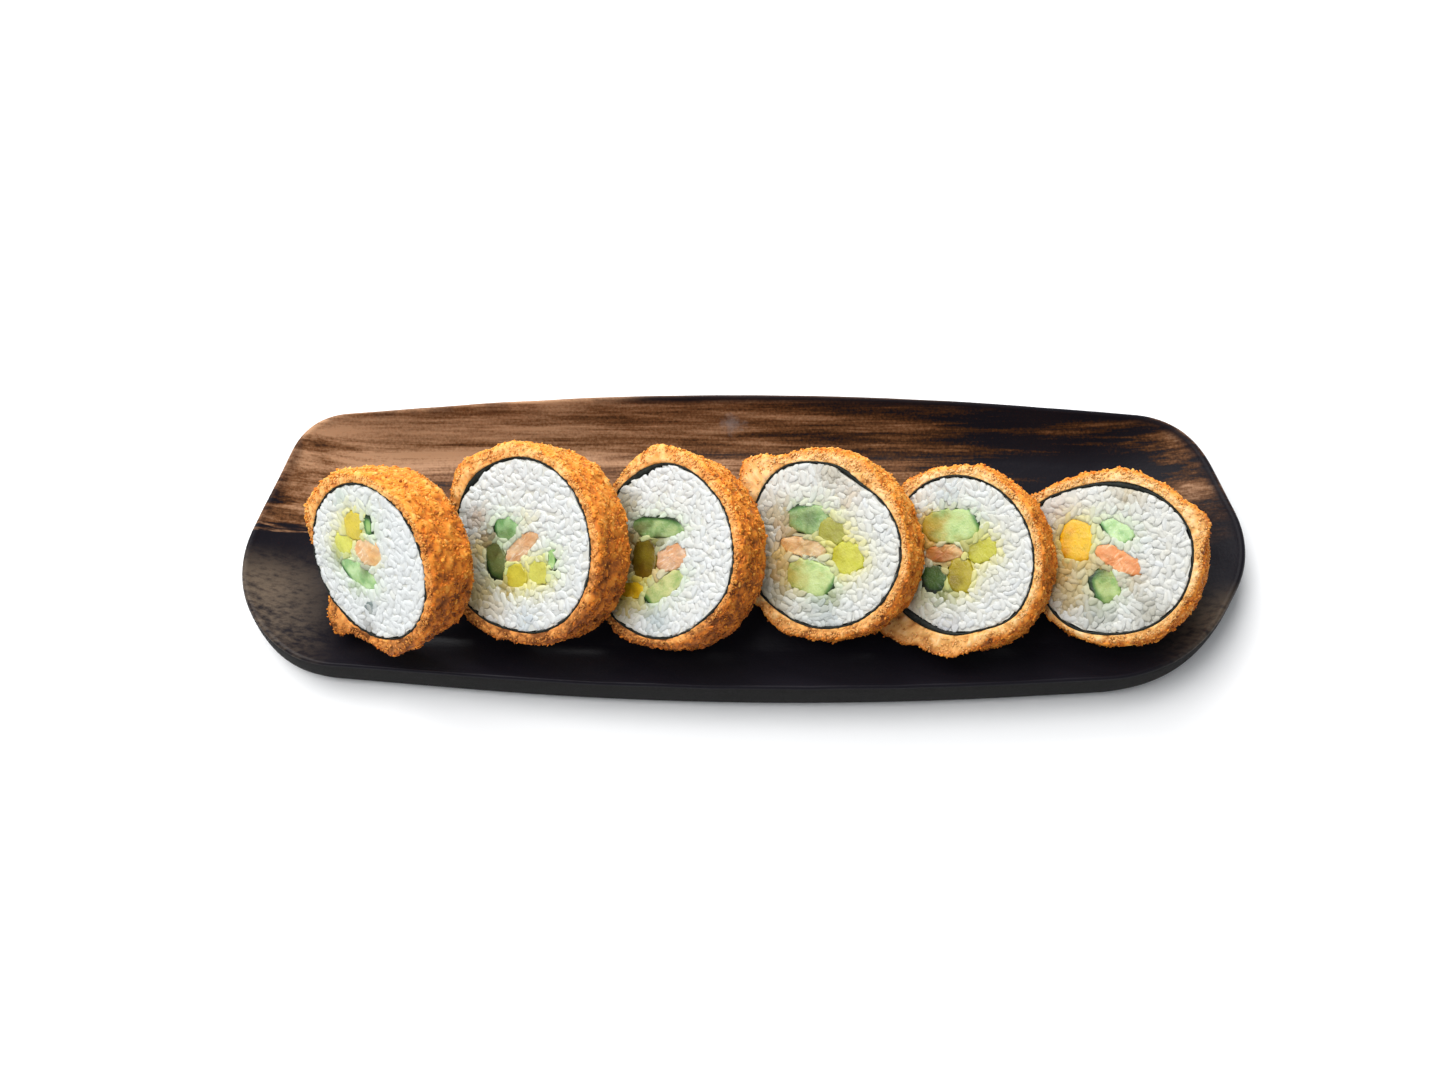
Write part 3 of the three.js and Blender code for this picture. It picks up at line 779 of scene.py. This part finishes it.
def makeCrumbs(data, material):
    draw = np.random.default_rng(100 + data["number"])
    shape = crustShape
    flakes, flakeFaces = shardTemplates(draw, 9, 2)
    crumbs, crumbFaces = shardTemplates(draw, 9, 1)
    kinds = (  # shapes, faces, where, how many and how large
        (flakes, flakeFaces, sidePlaces, shape["flakes"], shape["flakeSizes"]),
        (crumbs, crumbFaces, sidePlaces, shape["crumbs"], shape["crumbSizes"]),
        (crumbs, crumbFaces, cutPlaces, shape["cutCrumbs"], shape["crumbSizes"]),
    )
    middleShade, spreadShade = crustLook["crumbShade"]
    points, faces, shades, cuts = [], [], [], []
    start = 0
    for templates, templateFaces, findPlaces, count, ranges in kinds:
        flat, normals, cut = findPlaces(data, draw, count)
        sizes = np.stack([draw.uniform(low, high, count) for low, high in ranges], 1)
        frames = randomFrames(draw, normals, shape["tilt"])
        body, bodyFaces = scatter(templates, templateFaces, flat, frames, sizes)
        # adds painted light at the top and painted shade at the bottom
        shade = draw.normal(middleShade, spreadShade, count) + friedAndPaintedLight(data, flat)
        points.append(body.reshape(-1, 3))
        faces.append(bodyFaces + start)
        shades.append(np.repeat(np.clip(shade, 0.05, 1), body.shape[1]))
        cuts.append(np.repeat(cut * crustLook["cutShare"][data["number"] - 1], body.shape[1]))
        start += len(points[-1])
    points = toWorld(data, np.vstack(points))
    piece = addMesh(f"crustCrumbs{data['number']}", points, faces, [material],
                    values={"shade": np.concatenate(shades), "cut": np.concatenate(cuts)})
    dress(piece, data, "crust")


def dress(piece, data, node):
    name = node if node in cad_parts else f"{node}_{data['number']}"
    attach(piece, "root")
    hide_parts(name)


# Seaweed
noriShape = {
    "around": 300, "proud": 0.42, "sunk": 0.10, "ripple": 0.20, "bare": 0.17,
    # share of the thickness and drop below the crest: outside edge, rounded crest, inside edge
    "profile": ((0.0, 0.5), (0.12, 0.1), (0.5, 0.0), (0.88, 0.1), (1.0, 0.5)),
}
noriLook = {
    "dark": (0.004, 0.005, 0.005), "green": (0.016, 0.021, 0.015), "roughness": 0.6, "specular": 0.2,
}


def makeNoriMaterial():
    look = noriLook
    material, nodes, links, shader = newMaterial("seaweedSheet")
    patches, specks = addMottle(nodes, links, 260, 1800)
    colour = addRamp(nodes, links, specks, [(0.35, look["dark"]), (0.7, look["green"])])
    links.new(colour, shader.inputs["Base Color"])
    shader.inputs["Roughness"].default_value = look["roughness"]
    shader.inputs["Specular IOR Level"].default_value = look["specular"]
    addBump(nodes, links, shader, patches, 0.4, 0.0003)
    return material


def noriEdge(data, angles):
    # the sheet's inside edge, which the rice is pressed against
    return readCurve(data["noriInner"], angles) + noriShape["bare"]


def makeNori(data, material):
    shape = noriShape
    count = shape["around"]
    angles = np.arange(count) * 2 * np.pi / count
    outer, inner = readCurve(data["noriOuter"], angles) + 0.1, noriEdge(data, angles)
    circle = np.stack([np.cos(angles), np.sin(angles), np.full(count, data["number"] * 9.7)], 1)
    ripple = shape["ripple"] * roughness(circle * 5, 1, 3)
    lift = roughness(circle * 9 + 20, 1, 3)
    rings = []
    for side in (1, -1):
        top = side * (data["half"] - shape["sunk"] + shape["proud"] * lift)
        for share, drop in shape["profile"][::side]:
            radius = outer - (outer - inner) * share + ripple * share
            height = top - side * drop
            rings.append(np.stack([radius * np.cos(angles), radius * np.sin(angles), height], 1))
    points, faces = skinRings(np.array(rings), joined=True)
    turned = [group[:, ::-1] for group in faces]
    piece = addMesh(f"seaweed{data['number']}", toWorld(data, points), turned, [material])
    dress(piece, data, "nori")


# Rice
riceLook = {
    "white": (0.615, 0.632, 0.640), "cream": (0.62, 0.595, 0.51), "shadow": (0.44, 0.45, 0.44),
    # how creamy and how bright each slice's rice is, from the left
    "warmth": (0.0, 0.08, 0.12, 0.30, 0.22, 0.40), "bright": (1.0, 0.94, 0.87, 0.88, 0.89, 0.88),
    # colour factors beside the fillings, how strong they are and how far they reach, in mm
    "dyes": {"takuan": ((0.97, 0.90, 0.30), 0.9), "cucumber": ((0.74, 0.92, 0.58), 0.6)},
    "dyeReach": 2.2, "dyeEnd": 9,
    # the core's darker factor is painted shade under and between the grains
    "coreShade": 0.5, "coreDark": 0.94, "roughness": (0.4, 0.6), "specular": 0.28,
}
# painted shade where neighbouring slices and fillings shadow the rice, painted warm light bounced off
# the neighbouring crust, and spots browned by sauce and oil: right, up and size in mm on the cut face,
# colour factors
shadeAndStainSpots = {
    1: [
        (-2.5, -12, 1.4, (0.16, 0.22, 0.22)), (-7, 17, 2.5, (0.85, 0.92, 0.90)),
        (-12, 1.5, 3.2, (0.62, 0.66, 0.60)), (-2, -2.5, 1.8, (0.55, 0.50, 0.46)),
        (-6, -6, 2.2, (0.66, 0.74, 0.58)), (-5, -18.5, 3, (0.45, 0.43, 0.41)),
        (3, 0, 3, (0.92, 0.90, 0.70)),
    ],
    2: [
        (-14.5, 6.5, 3.2, (0.62, 0.46, 0.36)), (-15, -13, 7, (0.74, 0.56, 0.28)),
        (-10, 2, 3, (0.34, 0.25, 0.18)), (-14, -1, 3.6, (0.95, 0.70, 0.34)),
        (-4, 2.5, 2.6, (0.68, 0.64, 0.56)), (-6, -11, 2.8, (0.62, 0.48, 0.26)),
        (1, -20, 3.5, (0.80, 0.85, 0.90)), (2, 7, 2.6, (1.0, 0.96, 0.78)),
    ],
    3: [
        (-14, 11, 5, (0.54, 0.44, 0.27)), (-13, 1, 6, (0.36, 0.20, 0.06)),
        (-13, -13, 6, (0.66, 0.52, 0.22)), (-7, -7, 3, (0.80, 0.62, 0.20)),
        (-16, -6, 4, (0.36, 0.24, 0.09)), (-2.5, 2.5, 2.6, (0.30, 0.28, 0.20)),
        (-2, -6, 2, (0.82, 0.55, 0.38)), (-1, -18.5, 4, (0.66, 0.72, 0.75)),
    ],
    4: [
        (-12, -3, 5.5, (0.88, 0.56, 0.20)), (-9, -9, 4.5, (0.82, 0.58, 0.26)),
        (-14, 8, 4.5, (0.70, 0.58, 0.42)), (-10, 5, 3, (0.72, 0.52, 0.34)),
        (-4, 7, 2.2, (0.40, 0.45, 0.36)), (-4, 0, 3.4, (0.74, 0.64, 0.48)),
        (3.5, -2.5, 2.4, (0.78, 0.72, 0.32)), (3, -14, 2.6, (0.60, 0.62, 0.45)),
        (8, 13, 3, (0.92, 0.80, 0.68)), (-13, -14, 4.5, (0.62, 0.55, 0.42)),
        (0, -18, 5, (0.68, 0.72, 0.74)), (3, 18.5, 4, (0.72, 0.66, 0.56)),
    ],
    5: [
        (-9, 8, 5, (0.95, 0.56, 0.14)), (-9, 3, 4.5, (0.85, 0.50, 0.14)),
        (-5, -1, 3, (0.62, 0.40, 0.20)), (-12, -11, 5, (0.95, 0.86, 0.62)),
        (-4, -10, 3, (0.35, 0.36, 0.18)), (2, 3, 2.4, (0.66, 0.62, 0.40)),
        (-2, -6, 2, (0.66, 0.60, 0.38)), (-3, -18.5, 3, (0.72, 0.72, 0.76)),
        (-4, 16, 4, (0.80, 0.84, 0.88)), (6, 6, 2.5, (0.92, 0.90, 0.62)),
    ],
    6: [
        (-15.5, 3, 4, (1.0, 0.72, 0.34)), (-11, -9, 6, (0.80, 0.62, 0.32)),
        (-15, -4, 5, (0.92, 0.66, 0.28)), (-14, 11, 5, (0.84, 0.72, 0.66)),
        (-6, -2, 2.6, (0.85, 0.64, 0.42)), (-2, -3, 2.4, (0.70, 0.52, 0.30)),
        (-4, -15, 5, (0.62, 0.64, 0.62)), (10, -14, 4, (0.60, 0.58, 0.52)),
        (6, -6, 3, (0.74, 0.64, 0.50)), (4, 18, 4, (0.78, 0.68, 0.52)),
    ],
}
riceShape = {
    # half length, half width and half thickness of a grain: middle and spread
    "grain": ((2.2, 0.2), (1.04, 0.09), (0.90, 0.09)), "tilt": 0.32, "bend": 0.16, "blunt": 0.72,
    # layers of grains: side, spacing, depth of the grains' middles and spread of that depth
    "layers": ((1, 1.80, 0.60, 0.12), (1, 2.2, 1.05, 0.15), (-1, 2.4, 0.6, 0.15)),
    "jitter": 0.32, "clearNori": 0.62, "clearFilling": 0.12, "overlap": 0.42,
    "cutLevel": 0.03, "pressed": 0.93, "coreDrop": 0.24, "coreUneven": 0.4,
}


def makeRiceMaterial():
    look = riceLook
    material, nodes, links, shader = newMaterial("riceGrain")
    patches, specks = addMottle(nodes, links, 150, 1300)
    colour = addMix(nodes, links, readAttribute(nodes, "shade"), look["white"], look["cream"])
    shadow = addRange(nodes, links, specks, 0.56, 0.75, 0.0, 0.3)
    colour = addMix(nodes, links, shadow, colour, look["shadow"])
    colour = addMix(nodes, links, 1.0, colour, readAttribute(nodes, "tint", "Color"), "MULTIPLY")
    links.new(colour, shader.inputs["Base Color"])
    rough = addRange(nodes, links, patches, 0.3, 0.7, *look["roughness"])
    links.new(rough, shader.inputs["Roughness"])
    shader.inputs["Specular IOR Level"].default_value = look["specular"]
    shader.inputs["Subsurface Weight"].default_value = 0.12
    shader.inputs["Subsurface Radius"].default_value = (1.0, 0.95, 0.88)
    shader.inputs["Subsurface Scale"].default_value = 0.0005
    addBump(nodes, links, shader, specks, 0.2, 0.0002)
    return material


def shadeAndStainTint(data, points):
    # colour factors of the painted shade, painted bounced light and sauce spots, with uneven borders
    right, up = seenPlace(data, points)
    uneven = 1 + 0.45 * roughness(points + 11 * data["number"], 3.0, 3)
    tint = np.full((len(points), 3), riceLook["bright"][data["number"] - 1])
    for spotRight, spotUp, size, colour in shadeAndStainSpots[data["number"]]:
        away = np.hypot(right - spotRight, up - spotUp) / size * uneven
        tint *= 1 + np.exp(-away ** 2.4)[:, None] * (np.array(colour) - 1)
    return tint


def fillingTint(data, points):
    # colour factors for rice that the fillings have dyed
    tint = np.ones((len(points), 3))
    for name, filling in data["fillings"].items():
        angle, radius = polar(points[:, :2] - filling["middle"])
        gap = np.clip(radius - readCurve(filling["radius"], angle), 0, riceLook["dyeEnd"])
        kind = name.split("_")[0]
        if kind in riceLook["dyes"]:
            colour, strength = riceLook["dyes"][kind]
            amount = strength * np.exp(-gap / riceLook["dyeReach"])
            tint *= 1 + amount[:, None] * (np.array(colour) - 1)
    return tint


def grainTemplate(turns=8, rings=6):
    # a short plump grain, blunt at both ends, a little bent
    points = [(-1, 0, 0)]
    for k in range(1, rings):
        t = math.pi * k / rings
        for i in range(turns):
            a = 2 * math.pi * i / turns
            radius = math.sin(t) ** riceShape["blunt"]
            points.append((-math.cos(t), radius * math.cos(a), radius * math.sin(a)))
    points.append((1, 0, 0))
    last = len(points) - 1
    faces = []
    for i in range(turns):
        j = (i + 1) % turns
        end = 1 + (rings - 2) * turns
        faces += [(0, 1 + j, 1 + i), (last, end + i, end + j)]
        for k in range(rings - 2):
            a, b = 1 + k * turns, 1 + (k + 1) * turns
            faces += [(a + i, a + j, b + j), (a + i, b + j, b + i)]
    points = np.array(points, float)
    points[:, 1] += riceShape["bend"] * (points[:, 0] ** 2 - 0.4)
    return points, np.array(faces)


def spreadPoints(draw, inside, reach, spacing):
    # uneven rows of points over the face, kept where inside allows
    rows = np.arange(-reach, reach, spacing * 0.87)
    columns = np.arange(-reach, reach, spacing)
    grid = np.array([(x + 0.5 * spacing * (k % 2), y) for k, y in enumerate(rows) for x in columns])
    jitter = riceShape["jitter"]
    grid += draw.uniform(-jitter, jitter, grid.shape) * spacing
    return grid[inside(grid)]


def insideRice(data, flat):
    angles, radii = polar(flat)
    keep = radii < noriEdge(data, angles) - riceShape["clearNori"]
    for filling in data["fillings"].values():
        angle, radius = polar(flat - filling["middle"])
        keep &= radius > readCurve(filling["radius"], angle) + riceShape["clearFilling"]
    return keep


def makeRice(data, material):
    shape = riceShape
    draw = np.random.default_rng(500 + data["number"])
    template, faces = grainTemplate()
    flats, levels, sides = [], [], []
    for side, spacing, depth, spread in shape["layers"]:
        spots = spreadPoints(draw, lambda spot: insideRice(data, spot), 30, spacing)
        flats.append(spots)
        levels.append(side * (data["half"] - depth + spread * draw.standard_normal(len(spots))))
        sides.append(np.full(len(spots), float(side)))
    side = np.concatenate(sides)
    places = np.column_stack([np.vstack(flats), np.concatenate(levels)])
    count = len(places)
    normals = np.column_stack([np.zeros(count), np.zeros(count), side])
    sizes = np.stack([draw.normal(middle, spread, count) for middle, spread in shape["grain"]], 1)
    frames = randomFrames(draw, normals, shape["tilt"])
    body, bodyFaces = scatter([template], faces, places, frames, sizes)
    # the knife left the topmost grains nearly level
    level = data["half"] + shape["cutLevel"] * (1 + 2.0 * roughness(places, 6.0, 2))
    above = np.abs(body[:, :, 2]) - level[:, None]
    body[:, :, 2] -= np.sign(body[:, :, 2]) * np.where(above > 0, above * shape["pressed"], 0)
    points = keepClear(data, body.reshape(-1, 3))
    shade = np.clip(riceLook["warmth"][data["number"] - 1] + draw.normal(0, 0.12, count), 0, 1)
    # the tint holds painted shade and painted bounced light from the neighbours, with sauce spots and
    # dye
    tint = shadeAndStainTint(data, places) * fillingTint(data, places)
    values = {"shade": np.repeat(shade, body.shape[1]), "tint": np.repeat(tint, body.shape[1], axis=0)}
    piece = addMesh(f"riceGrains{data['number']}", toWorld(data, points), [bodyFaces], [material],
                    values=values)
    dress(piece, data, "rice")


def keepClear(data, points):
    # grains are pressed flat against the seaweed and lie a little way over the fillings' edges
    angles, radii = polar(points)
    limit = noriEdge(data, angles) + 0.03
    points[:, :2] *= np.minimum(1, limit / np.maximum(radii, 1e-6))[:, None]
    for filling in data["fillings"].values():
        away = points[:, :2] - filling["middle"]
        angle, radius = polar(away)
        edge = readCurve(filling["radius"], angle) - riceShape["overlap"]
        grow = np.where(radius < edge, edge / np.maximum(radius, 0.2), 1)
        points[:, :2] = filling["middle"] + away * grow[:, None]
    return points


def makeRiceCore(data, material):
    # the CAD rice with level faces just under the grains, out to the seaweed
    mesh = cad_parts[f"rice_{data['number']}"].data
    points = np.empty(len(mesh.vertices) * 3, np.float32)
    mesh.vertices.foreach_get("co", points)
    flat = toSlice(data, points.reshape(-1, 3) / mm)
    atFace = np.abs(flat[:, 2]) > data["half"] - 1.5
    drop = riceShape["coreDrop"] * (1 + riceShape["coreUneven"] * roughness(flat, 3.0, 2))
    level = data["half"] - drop
    flat[:, 2] = np.where(atFace, np.sign(flat[:, 2]) * level, flat[:, 2])
    angles, radii = polar(flat)
    edge = noriEdge(data, angles)
    flat[:, :2] *= np.where(radii > edge - 1.6, (edge - 0.05) / radii, 1)[:, None]
    faces = np.array([face.vertices[:] for face in mesh.polygons])
    # painted shade darkens the core under and between the grains; the spots add painted shade and
    # bounced light
    tint = riceLook["coreDark"] * shadeAndStainTint(data, flat) * fillingTint(data, flat)
    values = {"shade": np.full(len(flat), riceLook["coreShade"]), "tint": tint}
    piece = addMesh(f"riceCore{data['number']}", toWorld(data, flat), [faces], [material], smooth=False,
                    values=values)
    dress(piece, data, "rice")


# Fillings
fillingShape = {
    "around": 72, "edge": 0.4, "dome": 0.05, "side": 5, "uneven": 0.10, "grow": 0.25, "sunk": 0.17,
    # height and size of the lumps on the cut
    "relief": {"cucumber": (0.14, 2.6), "takuan": (0.14, 2.6), "salmon": (0.40, 1.8)},
}
# each stick: colour factors, which on sticks lying in shade are painted shade, tone from 0 for the paler
# kind to 1 for the deeper one, and for cucumber the side that the green skin is on, in degrees as seen
# from above, and its depth in mm
usualStick = {"tone": 0.3, "skinSide": 0, "skinDepth": 0.9}
sticks = {
    "takuan_a_1": {"tint": (0.92, 0.88, 0.70), "tone": 0.35},
    "takuan_b_1": {"tint": (0.98, 1.08, 1.30), "tone": 0.1},
    "cucumber_a_1": {"tint": (0.50, 0.70, 0.50), "skinSide": 15, "skinDepth": 2.4},
    "cucumber_b_1": {"tint": (0.80, 0.95, 1.10), "skinSide": 215},
    "salmon_1": {"tint": (1.00, 1.10, 1.15)},
    "takuan_a_2": {"tint": (0.78, 0.86, 0.80), "tone": 0.5},
    "takuan_b_2": {"tint": (0.85, 0.98, 1.50), "tone": 0.3},
    "cucumber_a_2": {"tint": (0.55, 0.75, 0.82), "skinSide": 178},
    # painted shade: this stick lies in shade
    "cucumber_b_2": {"tint": (0.42, 0.32, 0.30), "tone": 1, "skinSide": 225, "skinDepth": 2.4},
    "cucumber_c_2": {"tint": (0.80, 0.95, 0.95), "skinSide": -10},
    "salmon_2": {"tint": (0.85, 0.92, 1.00), "tone": 0.3},
    # painted shade: this stick lies in shade
    "takuan_a_3": {"tint": (0.26, 0.24, 0.10), "tone": 0.6},
    "takuan_b_3": {"tint": (0.95, 0.92, 0.35), "tone": 0.8},
    # painted shade: this stick lies in shade
    "cucumber_a_3": {"tint": (0.62, 0.70, 0.70), "skinSide": 85, "skinDepth": 1.3},
    "cucumber_b_3": {"tint": (0.95, 0.85, 0.85), "skinSide": 230},
    "salmon_3": {"tint": (0.86, 0.88, 0.98)},
    "takuan_a_4": {"tint": (0.55, 0.60, 0.60), "tone": 0.1},
    "takuan_b_4": {"tint": (0.88, 0.96, 0.75), "tone": 0.1},
    "cucumber_a_4": {"tint": (0.60, 0.72, 0.70), "skinSide": 105, "skinDepth": 0.9},
    "cucumber_b_4": {"tint": (0.90, 0.95, 0.90), "tone": 0, "skinSide": -28, "skinDepth": 1.1},
    "salmon_4": {"tint": (1.00, 1.20, 1.30), "tone": 0},
    "takuan_a_5": {"tint": (0.78, 0.85, 0.60), "tone": 0.15},
    "takuan_b_5": {"tint": (0.60, 0.60, 0.25), "tone": 0.4},
    "cucumber_a_5": {"tint": (0.85, 0.95, 0.90), "tone": 0.1, "skinSide": 25},
    # painted shade: this stick lies in shade
    "cucumber_b_5": {"tint": (0.22, 0.28, 0.20), "tone": 1, "skinSide": 235, "skinDepth": 2.6},
    "salmon_5": {"tint": (0.80, 0.86, 0.72)},
    "takuan_a_6": {"tint": (1.12, 1.04, 0.40), "tone": 1},
    "cucumber_a_6": {"tint": (1.00, 1.15, 1.40), "skinSide": 210, "skinDepth": 0.6},
    "cucumber_b_6": {"tint": (0.75, 0.85, 0.70), "skinSide": 180, "skinDepth": 2.4},
    "salmon_6": {"tint": (1.15, 0.95, 0.85), "tone": 0.6},
}
fleshLook = {
    "cucumber": {"pale": (0.54, 0.62, 0.27), "deep": (0.27, 0.43, 0.13), "skin": (0.011, 0.038, 0.007),
                 "rind": (0.10, 0.24, 0.05), "seed": (0.68, 0.67, 0.44), "roughness": 0.32},
    "takuan": {"pale": (0.60, 0.56, 0.085), "deep": (0.72, 0.47, 0.025), "dark": (0.36, 0.28, 0.02),
               "roughness": 0.32},
    "salmon": {"pale": (0.70, 0.45, 0.25), "deep": (0.66, 0.31, 0.12), "line": (0.80, 0.60, 0.41),
               "roughness": 0.5},
}


def makeFillingMaterial(kind):
    look = fleshLook[kind]
    material, nodes, links, shader = newMaterial(kind)
    place = readAttribute(nodes, "local", "Vector")
    tone = readAttribute(nodes, "tone")
    patches = addNoise(nodes, links, place, 0.35, 3)
    grain = addNoise(nodes, links, place, 1.9, 5, 0.6)
    if kind == "cucumber":
        skin = readAttribute(nodes, "skin")
        soft = addMath(nodes, links, "ADD", addMath(nodes, links, "MULTIPLY", tone, 0.4), patches)
        deep = addRange(nodes, links, soft, 0.45, 0.85)
        seeds = addRange(nodes, links, grain, 0.58, 0.7, 0.0, 0.5)
        rind = addRange(nodes, links, skin, 0.12, 0.62)
        peel = addRange(nodes, links, skin, 0.55, 0.90)
        colour = addMix(nodes, links, deep, look["pale"], look["deep"])
        colour = addMix(nodes, links, seeds, colour, look["seed"])
        colour = addMix(nodes, links, rind, colour, look["rind"])
        colour = addMix(nodes, links, peel, colour, look["skin"])
    elif kind == "takuan":
        fibre = addNoise(nodes, links, addStretch(nodes, links, place, (1.6, 0.35, 0.35)), 2.2, 4)
        fibre = addRange(nodes, links, fibre, 0.5, 0.72, 0.0, 0.4)
        cloudy = addRange(nodes, links, patches, 0.45, 0.75, 0.0, 0.45)
        colour = addMix(nodes, links, tone, look["pale"], look["deep"])
        colour = addMix(nodes, links, fibre, colour, look["dark"])
        colour = addMix(nodes, links, cloudy, colour, look["dark"])
    else:
        flakyPlace = addStretch(nodes, links, place, (0.35, 1.5, 0.4))
        flaky = addNoise(nodes, links, flakyPlace, 1.2, 3, 0.5, 0.6)
        layer = addRange(nodes, links, flaky, 0.56, 0.66, 0.0, 0.7)
        soft = addMath(nodes, links, "ADD", addMath(nodes, links, "MULTIPLY", tone, 0.3), patches)
        deep = addRange(nodes, links, soft, 0.35, 0.8)
        colour = addMix(nodes, links, deep, look["pale"], look["deep"])
        colour = addMix(nodes, links, layer, colour, look["line"])
    colour = addMix(nodes, links, 1.0, colour, readAttribute(nodes, "tint", "Color"), "MULTIPLY")
    links.new(colour, shader.inputs["Base Color"])
    shader.inputs["Roughness"].default_value = look["roughness"]
    shader.inputs["Specular IOR Level"].default_value = 0.35
    shader.inputs["Subsurface Weight"].default_value = 0.35
    shader.inputs["Subsurface Radius"].default_value = (1.0, 0.8, 0.35)
    shader.inputs["Subsurface Scale"].default_value = 0.0014
    addBump(nodes, links, shader, grain, 0.35, 0.0004)
    return material


def fillingRows(filling):
    # share of the outline, place along the axis and which face it is on, from the back to the front
    shape = fillingShape
    shares = (0.12, 0.3, 0.48, 0.64, 0.78, 0.88, 0.95, 1.0)
    rows = []
    for share in shares:
        rise = shape["dome"] * (1 - share ** 2) - shape["edge"] * (max(0, share - 0.88) / 0.12) ** 2
        rows.append((share - 0.02 * (share == 1), rise, 1))
    sides = np.linspace(filling["high"] - 0.7, filling["low"] + 0.7, shape["side"])
    front = [(share, filling["high"] + rise - shape["sunk"], 1) for share, rise, _ in rows]
    back = [(share, filling["low"] - rise + shape["sunk"], -1) for share, rise, _ in rows[::-1]]
    return (front + [(1.0, along, 0) for along in sides] + back)[::-1]


def skinShare(data, away, rim, stick, points):
    # 1 on the green skin, which is along one side of the stick, falling to 0 inside
    side = math.radians(stick["skinSide"] + seenTurn[data["number"]])
    facing = away @ np.array([math.cos(side), math.sin(side)])
    depth = stick["skinDepth"] + 0.2 * roughness(points, 2.5, 2)
    share = np.clip(1.25 - (facing.max() - facing) / (2.2 * depth), 0, 1)
    return share * np.clip((rim - 0.3) / 0.5, 0, 1)


def makeFilling(data, name, filling, material):
    shape = fillingShape
    stick = {**usualStick, **sticks[name]}
    kind = name.split("_")[0]
    count = shape["around"]
    angles = np.arange(count) * 2 * np.pi / count
    seed = sum(map(ord, name))
    circle = np.stack([np.cos(angles) * 2.6, np.sin(angles) * 2.6, np.full(count, seed)], 1)
    uneven = 1 + shape["uneven"] * roughness(circle, 1, 4)
    outline = readCurve(filling["radius"], angles) * uneven + shape["grow"]
    relief, lumpSize = shape["relief"][kind]
    rings = []
    for share, along, face in fillingRows(filling):
        flat = np.stack([outline * np.cos(angles), outline * np.sin(angles)], 1) * share
        spot = np.column_stack([flat + filling["middle"], np.full(count, along)])
        spot[:, 2] += face * relief * (roughness(spot + seed, lumpSize, 3) - 0.1)
        rings.append(spot)
    points, faces = skinRings(np.array(rings))
    # the tint holds painted shade and painted bounced light from the neighbours, with sauce spots
    values = {"local": points, "tint": shadeAndStainTint(data, points) * np.array(stick["tint"]),
              "tone": np.full(len(points), stick["tone"])}
    if kind == "cucumber":
        away = points[:, :2] - filling["middle"]
        angle, radius = polar(away)
        rim = radius / readCurve(filling["radius"], angle)
        values["skin"] = skinShare(data, away, rim, stick, points)
    label = name.replace("_", "") + "Stick"
    piece = addMesh(label, toWorld(data, points), faces, [material], values=values)
    dress(piece, data, name)


# Floor, light and camera
stageLook = {
    "floor": (0.90, 0.90, 0.90), "floorRoughness": 0.85, "floorReach": 3000.0,
    "world": (0.93, 0.96, 1.0), "worldStrength": 0.36,
}
cameraSet = {
    "elevation": 72.0, "lens": 50.0, "sensorWidth": 36,
    "distance": 0.56, "target": (-0.0067, 0.0050, 0.0),
}
lights = {  # all of them aim at the middle of the plate
    "windowRear": {"spot": (-0.10, 0.80, 0.66), "size": 0.6, "watts": 8.5},
    "overheadLeft": {"spot": (-0.42, 0.16, 0.98), "size": 0.8, "watts": 13},
    "fillFront": {"spot": (-0.5, -0.7, 0.8), "size": 0.9, "watts": 0.7},
}


def makeStage():
    scene = bpy.context.scene
    scene.view_settings.view_transform = "Standard"
    material, _, _, shader = newMaterial("paleFloor")
    shader.inputs["Base Color"].default_value = (*stageLook["floor"], 1)
    shader.inputs["Roughness"].default_value = stageLook["floorRoughness"]
    reach = stageLook["floorReach"]
    corners = np.array([(-reach, -reach, 0), (reach, -reach, 0), (reach, reach, 0), (-reach, reach, 0)])
    floor = addMesh("floor", corners, [np.array([[0, 1, 2, 3]])], [material], smooth=False)
    world = bpy.data.worlds.new("studio")
    world.use_nodes = True
    background = world.node_tree.nodes["Background"]
    background.inputs["Color"].default_value = (*stageLook["world"], 1)
    background.inputs["Strength"].default_value = stageLook["worldStrength"]
    scene.world = world
    for name, values in lights.items():
        light = bpy.data.lights.new(name, "AREA")
        light.size = values["size"]
        light.energy = values["watts"]
        item = bpy.data.objects.new(name, light)
        item.location = values["spot"]
        item.rotation_euler = (-item.location).to_track_quat("-Z", "Y").to_euler()
        scene.collection.objects.link(item)


def makeCamera():
    camera = bpy.data.cameras.new("camera")
    camera.lens = cameraSet["lens"]
    camera.sensor_width = cameraSet["sensorWidth"]
    item = bpy.data.objects.new("camera", camera)
    bpy.context.scene.collection.objects.link(item)
    rise = math.radians(cameraSet["elevation"])
    target = Vector(cameraSet["target"])
    spot = target + Vector((0, -math.cos(rise), math.sin(rise))) * cameraSet["distance"]
    item.location = spot
    item.rotation_euler = (math.pi / 2 - rise, 0, 0)
    bpy.context.scene.camera = item


makeStage()
makeCamera()
print("stage and camera set")

makePlate([makeGlaze(), makeOutside()])
print("plate made")

crustMaterial = makeCrustMaterial()
noriMaterial = makeNoriMaterial()
riceMaterial = makeRiceMaterial()
fillingMaterials = {kind: makeFillingMaterial(kind) for kind in fleshLook}
for number, data in slices.items():
    makeCrust(data, crustMaterial)
    makeCrumbs(data, crustMaterial)
    makeNori(data, noriMaterial)
    makeRiceCore(data, riceMaterial)
    makeRice(data, riceMaterial)
    for name, filling in data["fillings"].items():
        makeFilling(data, name, filling, fillingMaterials[name.split("_")[0]])
    print("slice made", number)
